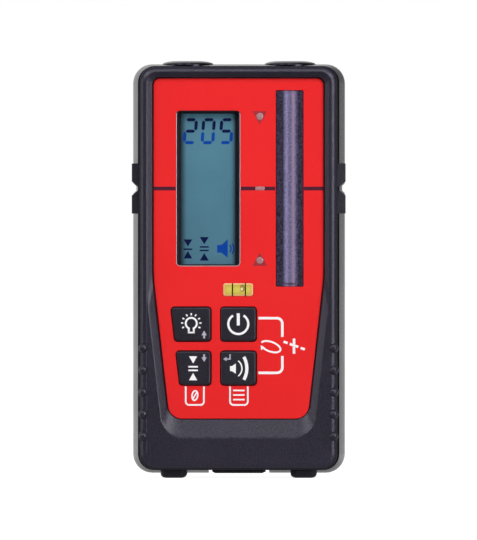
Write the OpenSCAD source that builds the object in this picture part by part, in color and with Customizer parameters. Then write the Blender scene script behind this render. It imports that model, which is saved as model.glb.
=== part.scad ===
// Hand-held laser receiver: black two-part housing, red faceplate with display,
// sensor strip and keys, magnets on top, battery door and clamp thread at the back.
// Millimetres, front towards -Y, +Z up, z = 0 under the feet, y = 0 at mid depth.

/* [Body] */
// Width of the rear shell from side to side
body_w = 80; // [79:0.5:88]
// Height of the rear shell without feet and magnets
body_h = 154.4; // [154:0.2:164]
// Corner radius of the rear shell seen from the front
body_corner_r = 7.2; // [6.6:0.1:9]
// Rounding of the edge round the back face
back_edge_r = 3; // [1:0.5:3.5]
// Depth over which the rear shell widens behind the front shell
draft_l = 15; // [10:0.5:18]
// Wall of the rear shell
wall = 2; // [1.8:0.1:2.2]
// Step from the rear shell's side in to the front shell
lip_side = 2.8; // [2.6:0.1:3.2]
// Step from the rear shell's top down to the front shell
lip_top = 1; // [0.9:0.1:1.3]
// Step from the rear shell's bottom up to the front shell
lip_bottom = 1.6; // [1.5:0.1:2]
// Corner radius of the front shell seen from the front
lip_corner_r = 5.6; // [5:0.1:6.6]
// Rounding of the front shell's rim
rim_r = 2.4; // [1.2:0.1:2.6]
// Depth of the front shell from rim to parting line
front_d = 9; // [8.6:0.2:10.4]
// Height of the rim above the faceplate
rim_h = 3; // [2.4:0.1:3.2]
// Floor of the dish behind the faceplate
floor_t = 2; // [1.8:0.1:2.2]

/* [Faceplate] */
// Height of the level line as a share of the rear shell's height
level_share = 0.6962; // [0.69:0.0002:0.7]
// Thickness of the faceplate
plate_t = 1; // [0.8:0.1:1.1]
// From the front shell's side to the faceplate's side
plate_side = 5.15; // [4.9:0.05:5.8]
// From the front shell's top to the faceplate's top
plate_top = 4.4; // [4.2:0.1:5.4]
// Height of the chin below the faceplate
chin_h = 19.1; // [17:0.1:21]
// Start of the taper below the level line
plate_bend = 33.2; // [31:0.1:35]
// Sideways taper for each millimetre down
plate_taper = 0.113; // [0.1:0.001:0.118]

/* [Display and sensor] */
// Width of the display window
display_w = 24.2; // [20:0.1:24.6]
// Height of the display window as a share of the faceplate's height
display_share = 0.457; // [0.4:0.001:0.46]
// Middle of the display left of the centre line
display_left = 11.4; // [11:0.1:11.6]
// Width of the sensor lens
sensor_w = 10.3; // [9:0.1:10.6]
// Height of the sensor lens as a share of the faceplate's height
sensor_share = 0.576; // [0.5:0.001:0.58]
// Middle of the sensor lens right of the centre line
sensor_right = 19.25; // [19:0.05:19.6]
// Width of the half-round ridge on the sensor lens
ridge_w = 5.3; // [4:0.1:6]
// Number of photodiodes behind the sensor lens
photodiode_count = 8; // [6:1:9]
// Radius of the round indicator lenses
lens_r = 1.4; // [1:0.1:1.6]
// Round indicator lenses in from the display's top and bottom edge
lens_in = 2.2; // [0:0.1:6]
// Width of the level vial
vial_w = 11.3; // [10:0.1:12]
// Height of the level vial
vial_h = 4.8; // [4.6:0.1:5]

/* [Keys] */
// Width of the middle keys
key_w = 13.4; // [11:0.1:13.8]
// Height of every key as a share of the faceplate's height
key_share = 0.1; // [0.085:0.001:0.102]
// Space between two rows or two columns of keys
key_space = 3.7; // [3.2:0.1:4]
// How far the keys stand out of the faceplate
key_proud = 0.8; // [0.4:0.1:1.2]
// Travel of a key when pressed
key_travel = 0.5; // [0.3:0.05:0.7]
// Space between a key and the edge of its opening
key_gap = 0.25; // [0.2:0.05:0.35]

/* [Magnets, feet and side pads] */
// Radius of the magnet cups
magnet_r = 9.7; // [8:0.1:9.9]
// From the rear shell's side to each magnet's middle
magnet_in = 20.7; // [19:0.1:24]
// How far the magnets stand above the top
magnet_proud = 1.2; // [0.6:0.1:1.6]
// Height of the feet below the rear shell
foot_h = 1.7; // [1:0.1:2.5]
// Width of each foot
foot_w = 9.9; // [8:0.1:11]
// From the rear shell's side to each foot's middle
foot_in = 15.5; // [14:0.1:20]
// How far the marking pads stand out of the side
pad_proud = 0.3; // [0.1:0.1:0.8]
// Height of a pair of marking pads
pad_h = 18.8; // [15:0.1:22]
// Radius of the grip ribs
rib_r = 1.6; // [1.2:0.05:2]
// Distance from one grip rib to the next
rib_pitch = 8.3; // [6:0.1:8.6]

/* [Battery and clamp] */
// Diameter of a battery cell
cell_d = 14.5; // [13.5:0.1:14.5]
// Length of a battery cell
cell_l = 50.5; // [49.2:0.1:50.5]
// Space between the main board and the battery bay
board_space = 1.1; // [0.6:0.1:8]
// Thickness of the battery door
door_t = 2.2; // [2.2:0.1:2.4]
// Radius of the hinge pin
pin_r = 0.8; // [0.6:0.05:0.9]
// Travel of the door latch
latch_travel = 2; // [1:0.1:2.2]
// Radius of the clamp thread's bore
thread_r = 2.55; // [2.1:0.05:3.2]
// Depth of the clamp thread
thread_depth = 10; // [8:0.5:11]

/* [Hidden] */
$fn = 48;

// Small overlap that lets a cut pass right through a face
cut = 0.5;
// Thickness of the slices that a rounded body is drawn over
slice = 0.02;
// Side space round a piece that is fitted and glued or pressed in place
fit_gap = 0.05;

// Main board and battery bay, stacked behind the faceplate
board_gap = 6.5;
board_t = 1.6;
bay_wall = 1.4;
cell_gap = 0.35;
body_d = rim_h + plate_t + floor_t + board_gap + board_t + board_space + bay_wall + cell_d
    + 2 * cell_gap + door_t;

// Main planes from front to back
front_y = -body_d / 2;
back_y = body_d / 2;
plate_y = front_y + rim_h;
floor_y = plate_y + plate_t;
inner_y = floor_y + floor_t;
split_y = front_y + front_d;
board_y = inner_y + board_gap;
board_back_y = board_y + board_t;

// Main heights
shell_z0 = foot_h;
shell_z1 = shell_z0 + body_h;
level_z = shell_z0 + level_share * body_h;

// Outline of the front shell and the joint between the shells
lip_half = body_w / 2 - lip_side;
lip_z0 = shell_z0 + lip_bottom;
lip_z1 = shell_z1 - lip_top;
shoulder_step = 0.3;
tongue_inset = 2;
tongue_t = 1;
tongue_l = 1.2;
tongue_gap = 0.1;
flange_t = 2.2;
gasket_inset = 0.5;
gasket_w = 1;
gasket_d = 0.8;
cavity_inset = tongue_inset + tongue_t;

// Faceplate and dish outlines
plate_half = lip_half - plate_side;
plate_z0 = lip_z0 + chin_h;
plate_z1 = lip_z1 - plate_top;
plate_h = plate_z1 - plate_z0;
bend_z = level_z - plate_bend;
plate_gap = 0.2;
plate_top_r = 2.5;
plate_bottom_r = 5.2;
dish_side = 2.4;
dish_top = 2.4;
dish_bottom = 7.9;
dish_bend_drop = 10;
dish_top_r = 4;
dish_bottom_r = 9.5;
dish_ledge = 0.1;
arc_steps = 8;
chin_core_in = 9.2;
chin_core_r = 1.5;

// Display
display_h = display_share * plate_h;
display_x = -display_left;
display_r = 1.5;
window_ledge = 0.8;
lcd_margin = 1.9;
lcd_end = 0.8;
lcd_w = display_w + 2 * lcd_margin;
lcd_h = display_h + 2 * (lcd_margin + lcd_end);
lcd_t = 1.8;
bezel_t = 0.8;
bezel_in = 1.8;
bezel_r = 0.3;
frame_wall = 1;
backlight_t = 2.8;
backlight_leg_w = 2;
backlight_leg_h = 3;
connector_w = 2;
connector_gap = 0.5;
connector_in = 1;

// Sensor
sensor_h = sensor_share * plate_h;
sensor_x = sensor_right;
sensor_r = 0.5;
sensor_sink = 0.4;
flange_w = 0.8;
flange_d = 1;
ridge_r = ridge_w * 0.66;
ridge_in = 1;
photodiode_a = 5;
photodiode_t = 1.2;
sensor_air = 0.4;
sensor_board_t = 1.2;
header_w = 2.5;
header_h = 20;
diode_y = inner_y + flange_d + sensor_air;
sensor_board_y = diode_y + photodiode_t;

// Indicators and vial
lens_x = 8.05;
lens_up = display_h / 2 - lens_in;
lens_flange_r = 2.3;
lens_flange_d = 0.8;
bar_w = 3.4;
bar_h = 1.4;
led_w = 3.2;
led_h = 1.6;
led_t = 1.1;
led_air = 0.3;
vial_x = -0.15;
vial_down = 8.8;
vial_z = level_z - display_h / 2 - vial_down;
vial_r = 0.9;
vial_tube_r = 1.7;
vial_tube_in = 0.9;
vial_back = 2.4;
vial_tube_y = plate_y + 2.6;
bubble_r = 1.1;
bubble_right = 1.5;

// Keys and switches
key_h = key_share * plate_h;
key_r = 1.3;
key_margin = 5.25;
key_top_gap = 4.2;
key_row_high = vial_z - vial_h / 2 - key_top_gap - key_h / 2;
key_row_low = key_row_high - key_h - key_space;
key_right = -key_w / 2 - key_space;
key_flange = 0.7;
key_flange_t = 1;
key_rest_gap = 0.1;
switch_a = 6;
switch_h = 3.5;
plunger_r = 1.7;
plunger_gap = 0.08;
plunger_bore = 2.6;
plunger_end_gap = 0.4;
key_back_y = inner_y + key_rest_gap + key_flange_t;
plunger_end_y = board_y - switch_h + plunger_bore - key_travel - plunger_end_gap;

// Housing screws
screw_r = 1.5;
screw_head_r = 2.75;
screw_head_h = 2.2;
screw_boss_r = 2.8;
screw_tube_r = 4.4;
screw_seat_d = 6;
screw_hole_gap = 0.2;
screw_end_gap = 0.4;
screw_tip = 2;
screw_tube_l = 12;
screw_in = 5.2;
screw_up = 9;
screw_down = 8;
screw_x = lip_half - screw_in;
screws_at = [[-screw_x, lip_z0 + screw_up], [screw_x, lip_z0 + screw_up],
    [-screw_x, lip_z1 - screw_down], [screw_x, lip_z1 - screw_down]];
screw_seat_y = back_y - screw_seat_d;
screw_end_y = inner_y + screw_tip;
boss_y = screw_seat_y - screw_tube_l;

// Main board outline and its screws
board_edge_gap = 0.7;
board_half = screw_x - screw_boss_r - board_edge_gap;
post_r = 2.3;
post_gap = 0.6;
post_edge = 3.5;
board_screw_r = 1.1;
board_head_r = 2;
board_head_h = 1.5;
board_screw_l = 5.6;
post_z1 = level_z + lcd_h / 2 + frame_wall + post_gap + post_r;
post_z0 = key_row_low - key_h / 2 - key_flange - post_gap - post_r;
board_z0 = post_z0 - post_edge;
board_z1 = post_z1 + post_edge;

// Magnets and feet
magnet_side = body_w / 2 - magnet_in;
magnet_back = 12.7;
magnet_y = back_y - magnet_back;
magnet_sink = 2.3;
magnet_boss_wall = 0.9;
magnet_rim = 1.5;
magnet_floor = 0.9;
magnet_flat_r = 4;
magnet_edge_drop = 0.1;
magnet_top = magnet_sink + magnet_proud;
magnet_crown = magnet_proud + magnet_edge_drop;
scoop_r = 40;
scoop_depth = 1;
foot_side = body_w / 2 - foot_in;
foot_l = 22;
foot_sink = lip_bottom;
foot_r = 2.5;
foot_edge_w = 2;
foot_edge_h = 1.5;
foot_front = 0.2;

// Marking pads and grip ribs
pad_depth = 16;
pad_front = 0.8;
pad_sink = 2.4;
pad_back_wall = 2;
pad_slot = 0.85;
pad_notch_w = 2.1;
pad_notch_h = 1.8;
groove_back_depth = 0.9;
pad_back_start = 5;
pad_lip_gap = 0.15;
pad_x0 = body_w / 2 - pad_sink;
pad_x1 = body_w / 2 + pad_proud;
pad_front_x = lip_half + pad_lip_gap;
rib_proud = 0.5;
rib_x = lip_half - rib_r + rib_proud;
rib_count = 5;
rib_up = 14;
rib_z0 = shell_z0 + rib_up;

// Battery bay, from the door inwards
cell_space = 0.7;
cell_x = (cell_d + cell_space) / 2;
contact_t = 0.5;
contact_rise = 2;
contact_half_w = 5;
contact_half_d = 4;
leaf_t = 0.4;
leaf_half_d = 2.5;
leaf_foot = 4.4;
leaf_top = 1;
bay_up = 7.3;
bay_half = cell_x + cell_d / 2 + cell_gap;
bay_z0 = shell_z0 + bay_up;
bay_z1 = bay_z0 + cell_l + 2 * (contact_t + contact_rise);
post_x = bay_half + bay_wall + board_head_r + post_gap;
board_screws_at = [[post_edge - board_half, post_z1], [lens_x, post_z1],
    [-post_x, post_z0], [post_x, key_row_low]];
door_y = back_y - door_t;
cell_y = door_y - cell_gap - cell_d / 2;
bay_y = cell_y - cell_d / 2 - cell_gap;
nub_r = 2.7;
nub_h = 1.2;
seal_t = 0.8;
seal_w = 1.2;
seal_in = 0.2;

// Battery door, hinge and latch
door_gap = 0.3;
door_lap = 2.4;
door_half = bay_half + door_lap;
door_z0 = bay_z0 - door_lap;
barrel_r = 1.9;
pin_gap = 0.05;
pin_seat = 1.2;
pin_end_gap = 0.1;
pin_y = back_y - barrel_r;
pin_z = bay_z1 + seal_in + seal_w + 2 * door_gap + barrel_r;
door_top = pin_z + barrel_r + door_gap;
frame_rim = 1.6;
frame_half = door_half + door_gap + frame_rim;
frame_y = pin_y - barrel_r - door_gap - bay_wall;
notch_half = 11.5;
notch_step = 0.1;
notch_h = lip_bottom - notch_step;
notch_roof = 2;
latch_half = 10;
latch_gap = 0.35;
latch_plate_t = 0.85;
latch_sink = 1.4;
latch_h = 8.4;
latch_tab_h = 2.2;
latch_tab_gap = 0.1;
latch_tongue_h = 1.1;
latch_tongue_gap = 0.3;
latch_ridge_r = 0.5;
latch_ridge_in = 2;
latch_ridge_pitch = 2;
latch_y = back_y - latch_sink + fit_gap;
latch_z0 = shell_z0 + latch_tab_gap;
channel_y = split_y + flange_t;
channel_z = latch_z0 + latch_tongue_h + latch_travel + latch_tongue_gap;

// Clamp insert, its locating holes and the parts on the back of the main board
insert_wall = 1.5;
insert_r = thread_r + insert_wall;
insert_boss_r = insert_r + wall;
locator_r = 2;
locator_depth = 3;
locator_up = 16;
parts_gap = 3;
parts_z0 = bay_z1 + bay_wall + parts_gap;
chip_a = 10;
chip_t = 1.4;
chip_up = 6;
crystal_w = 4;
crystal_h = 9;
crystal_up = 8;
coil_a = 7;
coil_t = 1.6;
coil_up = 40;
choke_w = 8;
choke_h = 6;
choke_up = 21;
small_l = 3.2;
small_w = 1.6;
small_t = 1;
column_up = 15;
column_pitch = 4;
row_up = 48;
buzzer_r = 6;
buzzer_h = 5.5;
buzzer_port_r = 1;
buzzer_in = 12.5;
buzzer_up = 20;
buzzer_x = buzzer_in - board_half;
buzzer_z = level_z + buzzer_up;
slot_w = 1.2;
slot_l = 9;

// Points of an arc about [x, z]
function arc(x, z, r, a0, a1) = [for (i = [0 : arc_steps])
    let (a = a0 + (a1 - a0) * i / arc_steps) [x + r * cos(a), z + r * sin(a)]];

// Points of a rounded rectangle drawn in by an inset, the corner centres kept
function panel_points(w, z0, z1, r, inset) = concat(
    arc(w / 2 - r, z0 + r, r - inset, -90, 0),
    arc(w / 2 - r, z1 - r, r - inset, 0, 90),
    arc(r - w / 2, z1 - r, r - inset, 90, 180),
    arc(r - w / 2, z0 + r, r - inset, 180, 270));

// Outline of the rear shell at a share of its draft, drawn in by an inset
function shell_points(share, inset) =
    let (keep = pow(1 - share, 1.5)) panel_points(body_w - 2 * keep * (lip_side - shoulder_step),
        shell_z0 + keep * (lip_bottom - shoulder_step), shell_z1 - keep * (lip_top - shoulder_step),
        body_corner_r - keep * (body_corner_r - lip_corner_r - shoulder_step), inset);

// Cross section of the groove at the level line, from its root out past the side
function groove_points(root_x) =
    let (side_x = pad_x1 + cut, half = pad_slot + (side_x - root_x) * pad_notch_h / pad_notch_w) [
        [root_x, level_z - pad_slot], [side_x, level_z - half],
        [side_x, level_z + half], [root_x, level_z + pad_slot]];

// Points of an outline with straight upper sides and tapered lower sides
function taper_points(half, z0, z1, bend, r0, r1) =
    let (lean = atan(plate_taper), low = half - plate_taper * (bend - z0 - r0) - r0 / cos(lean)) concat(
        arc(low, z0 + r0, r0, -90, -lean), [[half, bend]],
        arc(half - r1, z1 - r1, r1, 0, 90), arc(r1 - half, z1 - r1, r1, 90, 180),
        [[-half, bend]], arc(-low, z0 + r0, r0, 180 + lean, 270));

function plate_points(grow) = taper_points(plate_half + grow, plate_z0 - grow, plate_z1 + grow, bend_z,
    plate_bottom_r + grow, plate_top_r + grow);

function plate_half_at(z) = z > bend_z ? plate_half : plate_half - plate_taper * (bend_z - z);
function key_mid_x(z) = (key_right - plate_half_at(z) + key_margin) / 2;

// Box between two corners
module block(x0, x1, y0, y1, z0, z1) {
    translate([x0, y0, z0]) cube([x1 - x0, y1 - y0, z1 - z0]);
}

module round_rect(w, h, r) {
    translate([r, 0]) square([w - 2 * r, h]);
    translate([0, r]) square([w, h - 2 * r]);
    for (x = [r, w - r], y = [r, h - r]) translate([x, y]) circle(r);
}

// Drawing plane of the front view, filled from y0 back to y1
module front_view(y0, y1) {
    translate([0, y1, 0]) rotate([90, 0, 0]) linear_extrude(y1 - y0) children();
}

module panel(w, z0, z1, r, y0, y1, x = 0) {
    front_view(y0, y1) translate([x - w / 2, z0]) round_rect(w, z1 - z0, r);
}

module rod_y(r, y0, y1, x, z) {
    translate([x, y1, z]) rotate([90, 0, 0]) cylinder(r = r, h = y1 - y0);
}

module rod_x(r, x0, x1, y, z) {
    translate([x0, y, z]) rotate([0, 90, 0]) cylinder(r = r, h = x1 - x0);
}

// Solid through a list of [y, outline] levels, front first
module loft(levels) {
    n = len(levels[0][1]);
    last = (len(levels) - 1) * n;
    sides = [for (i = [0 : n : last - n], j = [0 : n - 1])
        [i + j, i + (j + 1) % n, i + n + (j + 1) % n, i + n + j]];
    front = [for (j = [n - 1 : -1 : 0]) j];
    back = [for (j = [0 : n - 1]) last + j];
    polyhedron([for (l = levels, p = l[1]) [p[0], l[0], p[1]]], concat([front], sides, [back]));
}

// Outline of the front shell, drawn in by an inset
module lip_panel(inset, y0, y1) {
    panel(2 * (lip_half - inset), lip_z0 + inset, lip_z1 - inset, lip_corner_r - inset, y0, y1);
}

module plate_outline(grow) {
    polygon(plate_points(grow));
}

// Outline of a left key, its outer edge parallel to the faceplate's edge
module left_key_outline(z, grow) {
    r = key_r + grow;
    lean = plate_taper * (key_h / 2 - key_r);
    outer = key_margin - plate_half_at(z) - grow + r;
    hull() {
        for (s = [-1, 1]) {
            translate([outer - s * lean, z + s * (key_h / 2 + grow - r)]) circle(r, $fn = 32);
            translate([key_right + grow - r, z + s * (key_h / 2 + grow - r)]) circle(r, $fn = 32);
        }
    }
}

module middle_key_outline(z, grow) {
    translate([-key_w / 2 - grow, z - key_h / 2 - grow])
        round_rect(key_w + 2 * grow, key_h + 2 * grow, key_r + grow);
}

module key_openings(y0, y1) {
    front_view(y0, y1) {
        left_key_outline(key_row_high, key_gap);
        left_key_outline(key_row_low, key_gap);
        middle_key_outline(key_row_high, key_gap);
        middle_key_outline(key_row_low, key_gap);
    }
}

module display_panel(grow, r, y0, y1) {
    panel(display_w + 2 * grow, level_z - display_h / 2 - grow, level_z + display_h / 2 + grow,
        r, y0, y1, display_x);
}

module sensor_panel(grow, r, y0, y1) {
    panel(sensor_w + 2 * grow, level_z - sensor_h / 2 - grow, level_z + sensor_h / 2 + grow,
        r, y0, y1, sensor_x);
}

module vial_panel(grow, r, y0, y1) {
    panel(vial_w + 2 * grow, vial_z - vial_h / 2 - grow, vial_z + vial_h / 2 + grow,
        r, y0, y1, vial_x);
}

module level_bar(grow, y0, y1) {
    block(lens_x - bar_w / 2 - grow, lens_x + bar_w / 2 + grow, y0, y1,
        level_z - bar_h / 2 - grow, level_z + bar_h / 2 + grow);
}

// Openings shared by the faceplate and the floor of the dish
module face_openings(y0, y1) {
    sensor_panel(fit_gap, sensor_r, y0, y1);
    vial_panel(fit_gap, vial_r, y0, y1);
    level_bar(fit_gap, y0, y1);
    for (s = [-1, 1]) rod_y(lens_r + fit_gap, y0, y1, lens_x, level_z + s * lens_up);
    key_openings(y0, y1);
}

module grip_ribs() {
    for (s = [-1, 1], i = [0 : rib_count - 1])
        translate([s * rib_x, front_y, rib_z0 + i * rib_pitch]) rotate([-90, 0, 0]) rib();
}

// Round rib along Z with a domed end at z = 0
module rib() {
    dome = [for (a = [0 : 30 : 90]) [rib_r * sin(a), rib_r * (1 - cos(a))]];
    rib_l = split_y - front_y;
    rotate_extrude($fn = 32) polygon(concat(dome, [[rib_r, rib_l], [0, rib_l]]));
}

module front_shell() {
    color([0.13, 0.13, 0.15]) difference() {
        union() {
            difference() {
                union() {
                    lip_body();
                    lip_panel(tongue_inset, split_y - cut, split_y + tongue_l);
                    grip_ribs();
                }
                lip_panel(cavity_inset, inner_y, split_y + tongue_l + cut);
                dish();
                front_view(plate_y - cut, floor_y) plate_outline(plate_gap);
                chin_core();
            }
            for (p = screws_at) rod_y(screw_boss_r, inner_y - cut, boss_y, p[0], p[1]);
            for (p = board_screws_at) rod_y(post_r, inner_y - cut, board_y, p[0], p[1]);
        }
        display_panel(-window_ledge, display_r, floor_y - cut, inner_y + cut);
        face_openings(floor_y - cut, inner_y + cut);
        for (p = screws_at)
            rod_y(screw_r + fit_gap, screw_end_y - screw_end_gap, boss_y + cut, p[0], p[1]);
        for (p = board_screws_at)
            rod_y(board_screw_r + fit_gap, board_back_y - board_screw_l - screw_end_gap, board_y + cut,
                p[0], p[1]);
    }
}

// Outside of the front shell, its rim rounded over
module lip_body() {
    rim = [for (a = [0 : 30 : 90]) [front_y + rim_r * (1 - cos(a)),
        panel_points(2 * lip_half, lip_z0, lip_z1, lip_corner_r, rim_r * (1 - sin(a)))]];
    loft(concat(rim, [[split_y, panel_points(2 * lip_half, lip_z0, lip_z1, lip_corner_r, 0)]]));
}

// Hollow of the dish from the rim's crest down to the faceplate
module dish() {
    crest = taper_points(plate_half + dish_side, plate_z0 - dish_bottom, plate_z1 + dish_top,
        bend_z - dish_bend_drop, dish_bottom_r, dish_top_r);
    loft([[front_y - slice, crest], [plate_y, plate_points(plate_gap + dish_ledge)]]);
}

// Hollow behind the flat chin below the dish
module chin_core() {
    panel(2 * (lip_half - chin_core_in), lip_z0 + cavity_inset, plate_z0 - dish_bottom - floor_t,
        chin_core_r,
        front_y + floor_t, inner_y + cut);
}

module rear_shell() {
    color([0.12, 0.12, 0.14]) difference() {
        union() {
            difference() {
                rear_body();
                lip_panel(tongue_inset - tongue_gap, split_y - cut, split_y + flange_t + cut);
                rear_cavity();
            }
            rear_bosses();
            bottom_and_side_backing();
            battery_bay();
        }
        gasket_ring(split_y - cut, split_y + gasket_d, fit_gap);
        rear_bores();
        side_and_foot_recesses();
        door_opening();
    }
}

// Outside of the rear shell, widening behind the front shell and rounded round the back
module rear_body() {
    draft = [for (t = [0 : 0.25 : 1]) [split_y + t * draft_l, shell_points(t, 0)]];
    back = [for (a = [90 : -30 : 0]) [back_y - back_edge_r * (1 - cos(a)),
        shell_points(1, back_edge_r * (1 - sin(a)))]];
    loft(concat(draft, back));
}

// Hollow of the rear shell, one wall inside it
module rear_cavity() {
    start = flange_t / draft_l;
    draft = [for (t = [start, 0.5, 1]) [split_y + t * draft_l, shell_points(t, wall)]];
    loft(concat(draft, [[back_y - wall, shell_points(1, wall)]]));
}

module rear_bosses() {
    for (p = screws_at) rod_y(screw_tube_r, boss_y, back_y - wall + cut, p[0], p[1]);
    rod_y(insert_boss_r, back_y - thread_depth - wall, back_y - wall + cut, 0, level_z);
    for (s = [-1, 1]) {
        rod_y(locator_r + wall, back_y - locator_depth - wall, back_y - wall + cut,
            0, level_z + s * locator_up);
        translate([s * magnet_side, magnet_y, shell_z1 - magnet_sink - wall])
            cylinder(r = magnet_r + magnet_boss_wall, h = magnet_sink + wall / 2);
    }
}

// Inner thickening behind the feet, the latch channel and the marking pads
module bottom_and_side_backing() {
    block(-notch_half - wall, notch_half + wall, channel_y - cut, back_y - wall + cut,
        lip_z0, channel_z + notch_roof);
    for (s = [-1, 1])
        block(s * foot_side - foot_w / 2 - wall, s * foot_side + foot_w / 2 + wall,
            channel_y - cut, split_y + foot_l + wall, lip_z0, shell_z0 + foot_sink + wall);
    for (s = [0, 1]) mirror([s, 0, 0])
        block(pad_x0 - pad_back_wall, body_w / 2 - wall + cut, split_y + pad_back_start,
            split_y + pad_depth + wall, level_z - pad_h / 2 - wall, level_z + pad_h / 2 + wall);
}

module battery_bay() {
    block(-bay_half - bay_wall, bay_half + bay_wall, bay_y - bay_wall, back_y - wall + cut,
        bay_z0 - bay_wall, bay_z1 + bay_wall);
    block(-frame_half, frame_half, frame_y, back_y - wall + cut,
        door_z0 - door_gap - frame_rim, door_top + frame_rim);
}

module rear_bores() {
    for (p = screws_at) {
        rod_y(screw_r + screw_hole_gap, boss_y - cut, back_y, p[0], p[1]);
        rod_y(screw_head_r + screw_hole_gap, screw_seat_y, back_y + cut, p[0], p[1]);
    }
    rod_y(insert_r + fit_gap / 2, back_y - thread_depth, back_y + cut, 0, level_z);
    for (s = [-1, 1]) {
        rod_y(locator_r, back_y - locator_depth, back_y + cut, 0, level_z + s * locator_up);
        translate([s * magnet_side, magnet_y, shell_z1 - magnet_sink])
            cylinder(r = magnet_r + fit_gap, h = magnet_sink + cut);
        rod_y(scoop_r, split_y - cut, magnet_y, s * magnet_side, shell_z1 - scoop_depth + scoop_r);
    }
    for (i = [-1 : 1])
        block(buzzer_x - slot_l / 2, buzzer_x + slot_l / 2, back_y - wall - cut, back_y + cut,
            buzzer_z + 3 * i * slot_w - slot_w / 2, buzzer_z + 3 * i * slot_w + slot_w / 2);
}

module side_and_foot_recesses() {
    for (s = [0, 1]) mirror([s, 0, 0]) {
        pad_recess(pad_x1 - pad_notch_w, -pad_h / 2, pad_h / 2);
        pad_recess(pad_x0, pad_slot, pad_h / 2);
        pad_recess(pad_x0, -pad_h / 2, -pad_slot);
        level_groove();
    }
    for (s = [-1, 1])
        block(s * foot_side - foot_w / 2 - fit_gap, s * foot_side + foot_w / 2 + fit_gap, split_y - cut,
            split_y + foot_l + fit_gap, shell_z0 - cut, shell_z0 + foot_sink);
    block(-notch_half, notch_half, split_y - cut, back_y + cut, shell_z0 - cut, shell_z0 + notch_h);
    block(-notch_half, notch_half, channel_y, back_y + cut, shell_z0 - cut, channel_z);
}

// Slot for a marking pad between two heights above the level line
module pad_recess(x0, z0, z1) {
    block(x0 - fit_gap, pad_x1 + cut, split_y - cut, split_y + pad_depth + fit_gap,
        level_z + z0 - fit_gap, level_z + z1 + fit_gap);
}

// V groove that carries the notch of the marking pads on to the back, growing shallower
module level_groove() {
    loft([[split_y + pad_depth, groove_points(pad_x1 - pad_notch_w)],
        [back_y + cut, groove_points(body_w / 2 - groove_back_depth)]]);
}

// Opening for the door with its seal ledge, hinge pocket, pin seats and latch notch
module door_opening() {
    block(-bay_half, bay_half, bay_y, back_y + cut, bay_z0, bay_z1);
    block(-door_half - door_gap, door_half + door_gap, door_y - seal_t, back_y + cut,
        door_z0 - door_gap, door_top);
    block(-door_half - door_gap, door_half + door_gap, frame_y + bay_wall, back_y + cut,
        pin_z - barrel_r - door_gap, door_top);
    rod_x(pin_r + fit_gap / 2, -door_half - door_gap - pin_seat, door_half + door_gap + pin_seat,
        pin_y, pin_z);
    block(-notch_half, notch_half, door_y - seal_t, back_y + cut, shell_z0 - cut, door_z0);
}

module gasket_ring(y0, y1, grow) {
    difference() {
        lip_panel(gasket_inset - grow, y0, y1);
        lip_panel(gasket_inset + gasket_w + grow, y0 - cut, y1 + cut);
    }
}

module seal_gasket() {
    color([0.3, 0.3, 0.32]) gasket_ring(split_y, split_y + gasket_d, 0);
}

module housing_screws() {
    color([0.6, 0.6, 0.62]) for (p = screws_at) {
        difference() {
            union() {
                rod_y(screw_r, screw_end_y, screw_seat_y + slice, p[0], p[1]);
                rod_y(screw_head_r, screw_seat_y, screw_seat_y + screw_head_h, p[0], p[1]);
            }
            hex_socket(p, screw_seat_y + screw_head_h, screw_head_r / 2, screw_head_h * 0.6);
        }
    }
}

// Six-sided drive recess sunk from the face at y
module hex_socket(p, y, r, depth) {
    translate([p[0], y + cut, p[1]]) rotate([90, 0, 0]) cylinder(r = r, h = depth + cut, $fn = 6);
}

module faceplate() {
    color([0.85, 0.1, 0.1]) difference() {
        front_view(plate_y, floor_y) plate_outline(0);
        display_panel(fit_gap, display_r, plate_y - cut, floor_y + cut);
        face_openings(plate_y - cut, floor_y + cut);
    }
}

module display_window() {
    color([0.8, 0.85, 0.88, 0.4]) display_panel(0, display_r, plate_y, floor_y);
}

// Dark frame between the floor and the main board, open at the viewing area
module lcd_frame() {
    color([0.08, 0.08, 0.09]) difference() {
        lcd_box(frame_wall, inner_y, board_y);
        lcd_box(fit_gap, inner_y + bezel_t, board_y + cut);
        display_panel(-bezel_in, bezel_r, inner_y - cut, inner_y + bezel_t + cut);
    }
}

module lcd_box(grow, y0, y1) {
    block(display_x - lcd_w / 2 - grow, display_x + lcd_w / 2 + grow, y0, y1,
        level_z - lcd_h / 2 - grow, level_z + lcd_h / 2 + grow);
}

module lcd_panel() {
    color([0.34, 0.5, 0.56]) lcd_box(0, inner_y + bezel_t, inner_y + bezel_t + lcd_t);
}

module lcd_backlight() {
    glass_y = inner_y + bezel_t + lcd_t;
    half_h = lcd_h / 2 - connector_w - connector_gap;
    half_leg = backlight_leg_w / 2;
    color([0.9, 0.9, 0.86]) {
        block(display_x - lcd_w / 2, display_x + lcd_w / 2, glass_y, glass_y + backlight_t,
            level_z - half_h, level_z + half_h);
        for (x = [display_x - lcd_w / 3, display_x + lcd_w / 3])
            block(x - half_leg, x + half_leg, glass_y + backlight_t - slice, board_y,
                level_z - half_h, level_z - half_h + backlight_leg_h);
    }
}

// Conductive rubber strips from the display glass to the main board
module lcd_connectors() {
    color([0.25, 0.25, 0.3]) for (s = [-1, 1]) {
        strip_z = level_z + s * (lcd_h / 2 - connector_w / 2);
        block(display_x - lcd_w / 2 + connector_in, display_x + lcd_w / 2 - connector_in,
            inner_y + bezel_t + lcd_t, board_y, strip_z - connector_w / 2, strip_z + connector_w / 2);
    }
}

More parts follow.
